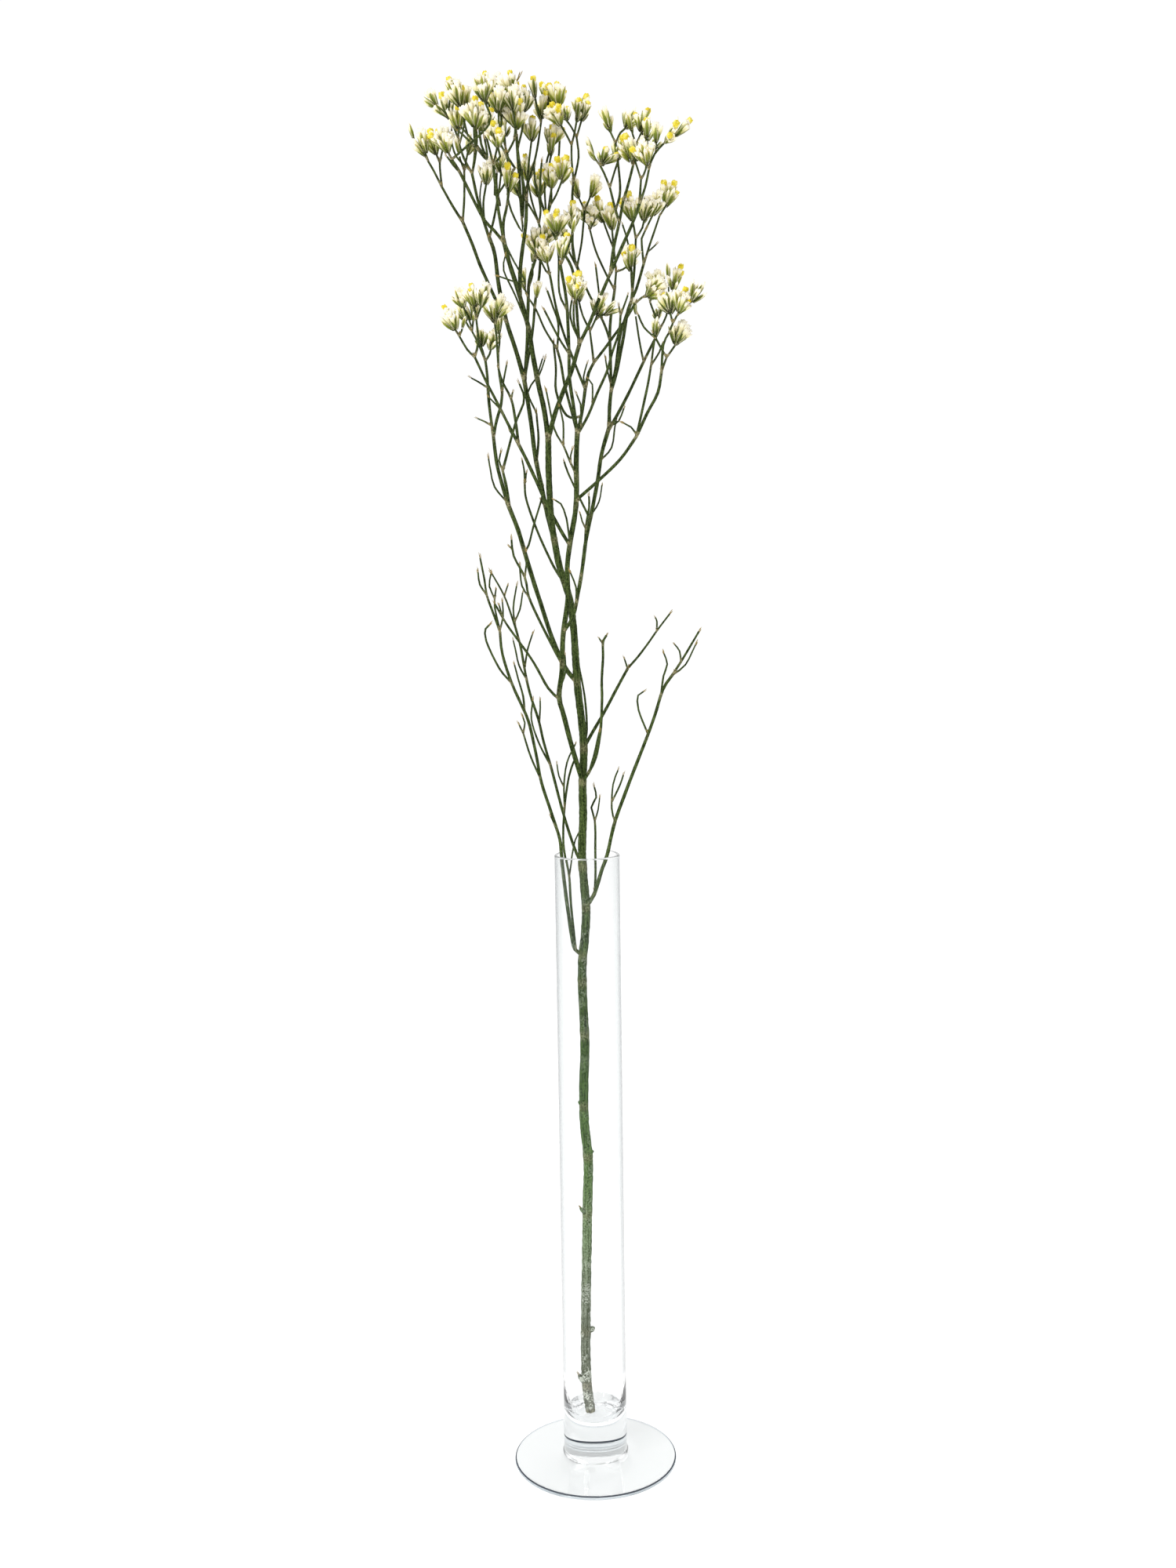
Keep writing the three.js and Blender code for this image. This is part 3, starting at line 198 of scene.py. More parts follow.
profile = bezier(*underside, 16)
underneath = len(profile)
profile += arc((foot_radius - foot_edge_rounding, foot_edge_rounding), foot_edge_rounding, -88, 78, 12)
profile += bezier(*foot_slope, 22) + bezier(*fillet, 12)
profile += [(fillet[-1][0], z) for z in stub_rings] + [(tube_radius, z) for z in outer_rings]
profile += arc((tube_radius - wall / 2, vase_height - wall / 2), wall / 2, 0, 180, 14)
profile += [(inner, z) for z in inner_rings]
profile += bezier(*heel_corner, 24) + bezier(*dish, 12)
profile += [(floor_radius, floor_height), (floor_radius / 2, floor_height), (0, floor_height)]

# Marks on the points say, from 0 to 1, what the glass is there: the edge of the foot, which gets painted
# blue-grey shade, and the painted dark line along it, the pressed and the plain skin inside, the joint,
# the ground underside, the lip, the heel, and how far the painted grey shade on the tube's sides fades
# towards the foot.
edge_line = underneath + 9
edge_width, edge_height = 0.0012, 0.0019
joint_below, joint_above = 0.0008, 0.0006
lip_depth = 0.0009
pressed_from, pressed_to = 0.030, 0.054
fade_height = 0.25
fade_share = 0.32
lip_crest = vase_height - 0.0001
rings = []
points = [(0, 0, profile[0][1])]
inside = False
for number, (radius, height) in enumerate(profile[1:-1]):
    inside = inside or height > lip_crest
    near_joint = max(0.0, 1 - abs(height - joint_height) / joint_spread)
    for k in range(glass_sides):
        turn = 2 * math.pi * k / glass_sides
        sway = math.sin(3 * turn + 0.6) * 0.5 + math.sin(7 * turn + 2.1) * 0.3
        sway += math.sin(13 * turn) * 0.2
        r = radius + joint_bulge * near_joint * sway
        z = height + joint_wave * near_joint * math.sin(5 * turn + 1.0) * math.sin(2 * turn)
        points.append((r * math.cos(turn), r * math.sin(turn), z))
    rings.append({
        "edge": radius > foot_radius - edge_width and height < edge_height,
        "line": edge_line - 1 <= number <= edge_line + 1,
        "pressed": inside and pressed_from < height < pressed_to,
        "joint": joint_height - joint_below < height < joint_height + joint_above,
        "ground": number < underneath,
        "lip": height > vase_height - lip_depth,
        "inner": inside and height > pressed_to,
        "heel": height < heel_top,
        "faint": max(0.0, fade_share * (1 - height / fade_height)),
    })
points.append((0, 0, profile[-1][1]))
marks = {label: [float(label in ("ground", "heel"))] for label in rings[0]}
for ring in rings:
    for label, value in ring.items():
        marks[label] += [float(value)] * glass_sides
last = len(points) - 1
faces = []
for k in range(glass_sides):
    n = (k + 1) % glass_sides
    faces.append((0, 1 + n, 1 + k))
    for low in range(1, last - glass_sides, glass_sides):
        faces.append((low + k, low + n, low + glass_sides + n, low + glass_sides + k))
    faces.append((last - glass_sides + k, last - glass_sides + n, last))

# Glass is clear, with slow waves in its skin, tighter where the heel was pressed. It greys where light
# runs far through it; its sides carry painted grey shade where they turn edge-on, and the thick edge of
# the foot painted blue-grey shade.
wave_width = 0.030
wave_drawing = 0.35
wave_depth = 0.00004
press_width = 0.0035
press_depth = 0.0001
edge_blue = 0.45
lip_haze = 1.5
ground_haze = 0.3
line_darkness = 0.9
glass, tree = new_material("clear_soda_lime_glass")
place = add_node(tree, "ShaderNodeTexCoord").outputs["Object"]
mark = {label: add_node(tree, "ShaderNodeAttribute", attribute_name=label).outputs["Fac"]
        for label in marks}
drawn = add_node(tree, "ShaderNodeMapping", {"Vector": place, "Scale": (1, 1, wave_drawing)})
waves = add_node(tree, "ShaderNodeTexNoise", {"Vector": drawn, "Scale": 1 / wave_width, "Detail": 1.0})
mottle = add_node(tree, "ShaderNodeTexNoise", {"Vector": place, "Scale": 1 / press_width, "Detail": 2.0})
slow_skin = add_node(tree, "ShaderNodeBump", {"Strength": 1.0, "Distance": wave_depth, "Height": waves})
skin = add_node(tree, "ShaderNodeBump", {"Strength": mark["pressed"], "Distance": press_depth,
                                         "Height": mottle, "Normal": slow_skin})
# Painted shade: the glass is coloured grey where its surface turns edge-on, standing in for the dark
# surroundings seen in the tube's sides; it is kept off the lip, the inner skin and the heel, and fades
# towards the foot.
grazing = add_node(tree, "ShaderNodeLayerWeight", {"Blend": 0.5}).outputs["Facing"]
painted_edge_shade = add_node(tree, "ShaderNodeValToRGB", {"Fac": grazing}, stops=(
    (0.1, "#f1f2f2"), (0.35, "#e6e8e8"), (0.55, "#ccd1d1"), (0.72, "#84898b"), (0.88, "#6a7072"),
    (1.0, "#a0a4a4")))
free_of_painted_shade = mark["lip"]
for label in ("inner", "heel", "faint"):
    free_of_painted_shade = add_node(tree, "ShaderNodeMath", {0: free_of_painted_shade, 1: mark[label]}, operation="MAXIMUM")
painted_edge_shade = add_node(tree, "ShaderNodeMix", {0: free_of_painted_shade, 6: painted_edge_shade, 7: linear("#ffffff")}, data_type="RGBA")
thick = add_node(tree, "ShaderNodeMath", {0: mark["lip"], 1: mark["heel"]}, operation="MAXIMUM")
mirrored = add_node(tree, "ShaderNodeMix", {0: thick, 6: linear("#8c8c8c"), 7: linear("#ffffff")},
                    data_type="RGBA")
clear = add_node(tree, "ShaderNodeBsdfPrincipled", {
    "Base Color": painted_edge_shade, "Roughness": 0.0, "IOR": 1.5, "Transmission Weight": 1.0,
    "Specular Tint": mirrored, "Normal": skin})
# Painted shade: a blue-grey diffuse band on the foot's rounded edge stands in for what that edge
# reflects and shows through its thickness.
painted_blue_grey_edge = add_node(tree, "ShaderNodeBsdfDiffuse", {"Color": linear("#b3c0c8")})
edge_share = add_node(tree, "ShaderNodeMath", {0: mark["edge"], 1: edge_blue}, operation="MULTIPLY")
edged = add_node(tree, "ShaderNodeMixShader", {0: edge_share, 1: clear, 2: painted_blue_grey_edge})
haze = add_node(tree, "ShaderNodeBsdfTranslucent", {"Color": linear("#ffffff")})
worn = add_node(tree, "ShaderNodeMath", {0: mark["lip"], 1: lip_haze}, operation="MULTIPLY")
worn = add_node(tree, "ShaderNodeMath", {0: mark["ground"], 1: worn}, operation="MAXIMUM")
haze_share = add_node(tree, "ShaderNodeMath", {0: worn, 1: ground_haze}, operation="MULTIPLY")
hazed = add_node(tree, "ShaderNodeMixShader", {0: haze_share, 1: edged, 2: haze})

# The joint is a dark line, seen from inside the glass, and only straight through it and not in its
# mirrored sides. Light on its way to the paper and the plant passes the glass almost unchanged.
back = add_node(tree, "ShaderNodeNewGeometry").outputs["Backfacing"]
ray = add_node(tree, "ShaderNodeLightPath").outputs
straight = add_node(tree, "ShaderNodeMath", {0: ray["Ray Depth"], 1: 1.5}, operation="LESS_THAN")
joint_share = add_node(tree, "ShaderNodeMath", {0: mark["joint"], 1: back}, operation="MULTIPLY")
joint_share = add_node(tree, "ShaderNodeMath", {0: joint_share, 1: straight}, operation="MULTIPLY")
# Painted shade: the ring along the foot's rounded edge is mixed towards the joint's dark colour, a
# painted dark reflection line.
line_share = add_node(tree, "ShaderNodeMath", {0: mark["line"], 1: line_darkness}, operation="MULTIPLY")
joint_and_painted_line_share = add_node(tree, "ShaderNodeMath", {0: joint_share, 1: line_share}, operation="MAXIMUM")
joint_and_painted_rim_line = add_node(tree, "ShaderNodeBsdfDiffuse", {"Color": linear("#1f2b3a")})
body = add_node(tree, "ShaderNodeMixShader", {0: joint_and_painted_line_share, 1: hazed, 2: joint_and_painted_rim_line})
lighting = add_node(tree, "ShaderNodeMath", {0: ray["Is Shadow Ray"], 1: ray["Is Diffuse Ray"]},
                    operation="MAXIMUM")
passing = add_node(tree, "ShaderNodeBsdfTransparent", {"Color": linear("#f0f1f1")})
either = add_node(tree, "ShaderNodeMixShader", {0: lighting, 1: body, 2: passing})
depth = add_node(tree, "ShaderNodeVolumeAbsorption", {"Color": linear("#ccd3d6"), "Density": 5.0})
add_node(tree, "ShaderNodeOutputMaterial", {"Surface": either, "Volume": depth})

vase = new_piece("glass_vase", points, faces, glass)
for label, values in marks.items():
    vase.data.attributes.new(label, "FLOAT", "POINT").data.foreach_set("value", values + [0.0])
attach(vase, "root")
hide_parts("vase_foot", "vase_tube")


# ---- Spikelets ----------------------------------------------------------------------------------
# A flower head is a wedge of spikelets. Each has keeled green bracts with thin pale edges round
# its foot, papery white funnels, the calyces, and on some the yellow corolla, dried to a knob.
# They are grown tissue, dried hard, and sit tight in each other. Their shapes are in millimetres.
bract_length = (7.8, 10.0)
bract_width = (3.3, 4.2)
bud_bract_length = (6.8, 8.8)
slim_scale_length = (3.2, 3.8)
calyx_height = (9.6, 11.4)
side_calyx_height = (8.4, 10.4)
side_calyx_spread = (0.14, 0.24)
corolla_radius = 1.85
corolla_depth = (1.1, 2.7)
keel_height = 0.18
margin_curl = 0.12
margin_drop = 0.3
bract_thickness = 0.22
lobe_height = 2.6
lobe_wander = 2.0
variants = 4
kinds = {"bract": 0, "calyx": 1, "corolla": 2, "scale": 3, "stem": 4}


def hashed(*values):
    """A repeatable random generator for one shape."""
    return random.Random("-".join(str(value) for value in values))


class Tissue:
    """Points and faces of one template, with what each point is made of: its kind, its rise from
    0 at its foot to 1 at its tip, and its edge from 0 on its rib to 1 on its margin or between ribs."""

    def __init__(self):
        self.points = []
        self.faces = []
        self.kind = []
        self.rise = []
        self.edge = []

    def point(self, place, kind, rise, edge):
        """A new point with its values; its place is in millimetres."""
        self.points.append(Vector(place) * 0.001)
        self.kind.append(kinds[kind])
        self.rise.append(rise)
        self.edge.append(edge)
        return len(self.points) - 1

    def skin(self, rows, outward):
        """Faces between rows of five points; the last row is one point, the tip."""
        for low, high in zip(rows, rows[1:]):
            for c in range(4):
                face = (low[c], low[c + 1], high[0]) if len(high) == 1 else (
                    low[c], low[c + 1], high[c + 1], high[c])
                self.faces.append(face if outward else face[::-1])

    def bract(self, kind, foot, length, width, radius, angle, open_by):
        """A keeled scale that hugs a round of that radius, its tip bent out by open_by."""
        outer, inner = [], []
        for t, share in ((0.0, 0.42), (0.22, 0.86), (0.5, 1.0), (0.8, 0.62), (1.0, 0.0)):
            out = radius * (0.42 + 0.72 * math.sin(min(t * 2.0, 1.45))) + open_by * t * t
            half = share * width / 2
            z = foot + length * t
            row = []
            for c in (-1, -0.45, 0, 0.45, 1) if share else (0,):
                turn = angle + c * half / max(out, 0.9) * 0.82
                away = out + keel_height * (1 - abs(c)) - margin_curl * abs(c)
                drop = margin_drop * abs(c) * (1 - t)
                place = (away * math.cos(turn), away * math.sin(turn), z - drop)
                row.append(self.point(place, kind, t, abs(c) if share else 0.5))
            outer.append(row)
            if not share or not t:
                inner.append(row)
                continue
            inside = []
            for c in (-0.45, 0, 0.45):
                turn = angle + c * half / max(out, 0.9) * 0.82
                away = out - bract_thickness
                place = (away * math.cos(turn), away * math.sin(turn), z)
                inside.append(self.point(place, kind, t, 0.8))
            inner.append([row[0], *inside, row[4]])
        self.skin(outer, True)
        self.skin(inner, False)

    def cup(self, rng, kind, lean, rings, ruffle, sides=10):
        """A closed form on rings of (height, radius, rise, edge), its mouth in pointed lobes."""
        wave = [rng.uniform(-1, 1) for _ in range(sides)]
        loops = []
        for height, radius, rise, edge in rings:
            loop = []
            for k in range(sides):
                turn = 2 * math.pi * k / sides
                lobe = 1 if k % 2 else -1
                r = radius * (1 + ruffle * (0.5 * lobe * rise + wave[k] * edge))
                z = height + ruffle * edge * (lobe_height * lobe + lobe_wander * wave[(k + 2) % sides])
                place = (r * math.cos(turn) + lean[0] * height, r * math.sin(turn) + lean[1] * height, z)
                loop.append(self.point(place, kind, rise, k % 2))
            loops.append(loop)
        for low, high in zip(loops, loops[1:]):
            for k in range(sides):
                n = (k + 1) % sides
                self.faces.append((low[k], low[n], high[n], high[k]))
        self.faces.append(tuple(reversed(loops[0])))
        self.faces.append(tuple(loops[-1]))

    def calyx(self, rng, lean, top, mouth):
        """A papery funnel with a hollow mouth."""
        self.cup(rng, "calyx", lean, (
            (0.8, 0.5, 0.0, 0.0), (top * 0.5, 0.9, 0.4, 0.0),
            (top * 0.78, 0.75 + 0.42 * mouth, 0.75, 0.1), (top, mouth, 1.0, 1.0),
            (top * 0.97, mouth * 0.82, 1.0, 0.6), (top * 0.9, mouth * 0.4, 0.7, 0.0)), 0.11)

    def corolla(self, rng, lean, low, radius):
        """A yellow knob of crumpled petals on a short tube."""
        self.cup(rng, "corolla", lean, (
            (low - 2.2, 0.6, 0.0, 0.0), (low - 0.2, radius * 0.68, 0.15, 0.0),
            (low + 1.0, radius * 0.86, 0.5, 0.2), (low + 2.4, radius, 0.8, 0.4),
            (low + 3.6, radius * 0.75, 1.0, 0.7), (low + 3.2, radius * 0.3, 0.9, 0.2)), 0.1)


def spikelet(form, variant):
    """One spikelet: y with a corolla, w an open calyx, b a closed bud, s a spike of slim scales."""
    rng = hashed("spikelet", form, variant)
    tissue = Tissue()
    turn = rng.uniform(0, 6.28)
    lean = (rng.uniform(-0.06, 0.06), rng.uniform(-0.06, 0.06))
    if form == "s":
        for k in range(6):
            length = rng.uniform(*slim_scale_length)
            tissue.bract("scale", 1.2 * k, length, 1.9, 0.6, turn + k * 2.75, 1.0 - 0.25 * k)
        return tissue
    if form == "b":
        for k in range(3):
            length = rng.uniform(*bud_bract_length) - 0.6 * (k == 2)
            tissue.bract("bract", 0.2 * k, length, 2.9, 1.2, turn + k * 2.15, -0.45)
        tissue.cup(rng, "calyx", lean, ((1.5, 0.5, 0.2, 0.0), (5.4, 1.05, 0.6, 0.0),
                                        (8.0, 0.95, 0.9, 0.3), (9.4, 0.35, 1.0, 1.0)), 0.06, 6)
        return tissue
    for k in range(4):
        tissue.bract("bract", 0.15 * k, rng.uniform(*bract_length), rng.uniform(*bract_width), 1.65,
                     turn + k * math.pi / 2 + rng.uniform(-0.3, 0.3), rng.uniform(-0.1, 0.7))
    top = rng.uniform(*calyx_height) - (0.6 if form == "y" else 0)
    tissue.calyx(rng, lean, top, 1.9 if form == "w" and variant % 2 else 1.5)
    for k in range(3 if form == "w" else 2):
        side = turn + 1.5 + k * 2.2 + rng.uniform(-0.4, 0.4)
        spread = rng.uniform(*side_calyx_spread)
        aside = (spread * math.cos(side), spread * math.sin(side))
        tissue.calyx(rng, aside, rng.uniform(*side_calyx_height), 1.15)
    if form == "y":
        low = top - rng.uniform(*corolla_depth)
        tissue.corolla(rng, lean, low, corolla_radius * rng.uniform(0.8, 1.1))
    return tissue


def add_template(name, tissue):
    """A template mesh that carries its tissue's values on its points."""
    mesh = bpy.data.meshes.new(name)
    mesh.from_pydata(tissue.points, [], tissue.faces)
    for label in ("kind", "rise", "edge"):
        layer = mesh.attributes.new(label, "FLOAT", "POINT")
        layer.data.foreach_set("value", [float(v) for v in getattr(tissue, label)])
    mesh.polygons.foreach_set("use_smooth", [True] * len(mesh.polygons))
    templates.objects.link(bpy.data.objects.new(name, mesh))


templates = bpy.data.collections.new("spikelet_templates")
bpy.context.scene.collection.children.link(templates)
form_order = "bwys"
for form_number, form in enumerate(form_order):
    for variant in range(variants):
        add_template(f"{form_number}_{form}_{variant}", spikelet(form, variant))
scale_form = variants * len(form_order)
fork_scale = Tissue()
fork_scale.bract("scale", -0.6, 3.6, 2.2, 0.7, 0.0, 0.6)
fork_scale.bract("scale", -0.9, 2.6, 2.0, 0.8, 2.6, 0.5)
add_template("4_fork_scale", fork_scale)
tip_bud = Tissue()
for number, open_by in enumerate((-0.45, -0.2, -0.3)):
    tip_bud.bract("scale", -0.6, 4.4 - 0.8 * number, 1.5, 0.55, 2.1 * number, open_by)
add_template("5_tip_bud", tip_bud)

# Dried bract and petal: thin, matt and slightly see-through. The bract is olive, darker at its foot,
# where that is partly its own colour and partly painted shade deep in the head, and paler to its tip,
# with a wide papery margin; the calyx is greenish cream to white; the corolla is butter yellow
# on a cream tube; the scales at the forks are brown with pale edges. Its sizes are in metres.
patch_size = 0.0022
blotch_size = 0.020
grain_size = 0.0007
grain_depth = 0.0002
petal, tree = new_material("dried_bract_and_petal")
place = add_node(tree, "ShaderNodeTexCoord").outputs["Object"]
rise, edge, kind = (add_node(tree, "ShaderNodeAttribute", attribute_name=label).outputs["Fac"]
                    for label in ("rise", "edge", "kind"))
patch = add_node(tree, "ShaderNodeTexNoise", {"Vector": place, "Scale": 1 / patch_size, "Detail": 3.0})
blotch = add_node(tree, "ShaderNodeTexNoise", {"Vector": place, "Scale": 1 / blotch_size, "Detail": 2.0})
# Partly painted shade: the bract's colour darkens towards its foot, deep inside the head, besides its
# own greener base.
green = add_node(tree, "ShaderNodeValToRGB", {"Fac": rise}, stops=(
    (0.0, "#434f0c"), (0.45, "#697720"), (0.8, "#9aa04a"), (1.0, "#cdb482")))
deep = add_node(tree, "ShaderNodeValToRGB", {"Fac": blotch}, stops=(
    (0.38, "#a9b080"), (0.5, "#f4f4e4"), (0.62, "#fff6d0")))
green = add_node(tree, "ShaderNodeMix", {0: 1.0, 6: green, 7: deep}, data_type="RGBA",
                 blend_type="MULTIPLY")
margin = add_node(tree, "ShaderNodeValToRGB", {"Fac": edge}, stops=((0.5, "#000000"), (0.9, "#e6e6e6")))
green = add_node(tree, "ShaderNodeMix", {0: margin, 6: green, 7: linear("#e6dfb8")}, data_type="RGBA")
papery = add_node(tree, "ShaderNodeValToRGB", {"Fac": rise}, stops=(
    (0.1, "#788230"), (0.38, "#bfbd70"), (0.68, "#ebe4ba"), (0.95, "#fcf7e6")))
spots = add_node(tree, "ShaderNodeValToRGB", {"Fac": patch}, stops=((0.5, "#000000"), (0.7, "#808080")))
papery = add_node(tree, "ShaderNodeMix", {0: spots, 6: papery, 7: linear("#c2a272")}, data_type="RGBA")
rib = add_node(tree, "ShaderNodeValToRGB", {"Fac": edge}, stops=((0.1, "#808080"), (0.5, "#000000")))
vein = add_node(tree, "ShaderNodeValToRGB", {"Fac": rise}, stops=(
    (0.3, "#7c8730"), (0.7, "#b0a850"), (0.95, "#d6b982")))
papery = add_node(tree, "ShaderNodeMix", {0: rib, 6: papery, 7: vein}, data_type="RGBA")
yellow = add_node(tree, "ShaderNodeValToRGB", {"Fac": patch}, stops=(
    (0.3, "#c6ae1c"), (0.5, "#d9c730"), (0.7, "#ebe086")))
tube = add_node(tree, "ShaderNodeValToRGB", {"Fac": rise}, stops=((0.12, "#ffffff"), (0.4, "#000000")))
yellow = add_node(tree, "ShaderNodeMix", {0: tube, 6: yellow, 7: linear("#f1ebd2")}, data_type="RGBA")
brown = add_node(tree, "ShaderNodeValToRGB", {"Fac": edge}, stops=(
    (0.2, "#6d6230"), (0.7, "#968445"), (1.0, "#b99f72")))
is_calyx, is_corolla, is_scale = (
    add_node(tree, "ShaderNodeMath", {0: kind, 1: kinds[name] - 0.5}, operation="GREATER_THAN")
    for name in ("calyx", "corolla", "scale"))
colour = green
for is_this, own_colour in ((is_calyx, papery), (is_corolla, yellow), (is_scale, brown)):
    colour = add_node(tree, "ShaderNodeMix", {0: is_this, 6: colour, 7: own_colour}, data_type="RGBA")
grain = add_node(tree, "ShaderNodeTexNoise", {"Vector": place, "Scale": 1 / grain_size, "Detail": 2.0})
skin = add_node(tree, "ShaderNodeBump", {"Strength": 0.5, "Distance": grain_depth, "Height": grain})
shader = add_node(tree, "ShaderNodeBsdfPrincipled", {
    "Base Color": colour, "Roughness": 0.7, "Specular IOR Level": 0.25, "IOR": 1.45,
    "Subsurface Weight": 0.15, "Subsurface Radius": (1.0, 0.9, 0.6), "Subsurface Scale": 0.0006,
    "Normal": skin})
add_node(tree, "ShaderNodeOutputMaterial", {"Surface": shader})


# ---- Stems and side twigs -----------------------------------------------------------------------
# Dried flower stems, ribbed lengthwise, grey-green, paler and scabbed where they stood in water.
# One grows out of the other, with a pale scar and brown scales at each fork, and the side twigs
# end in small dry buds. Their shapes are in millimetres.
head_spread = 0.5
upward_pull = 0.5
core_height = 3.2
floret_size = (0.96, 1.16)
low_floret_size = (0.85, 1.05)
low_floret_tilt = (0.3, 0.62)
low_floret_rise = (-0.8, 1.4)
neck_length = 1.6
scar_length = 1.3
swelling = 0.08
swelling_share = 0.6
swelling_length = 1.8
uneven_width = (0.95, 1.06)
fork_scale_size = (0.5, 0.8)
tip_bud_size = (0.7, 1.1)
scale_lift = 0.6
waver = 0.4
waver_length = 17
old_knots = ((-4, 0, 270), (-3, 0, 302))
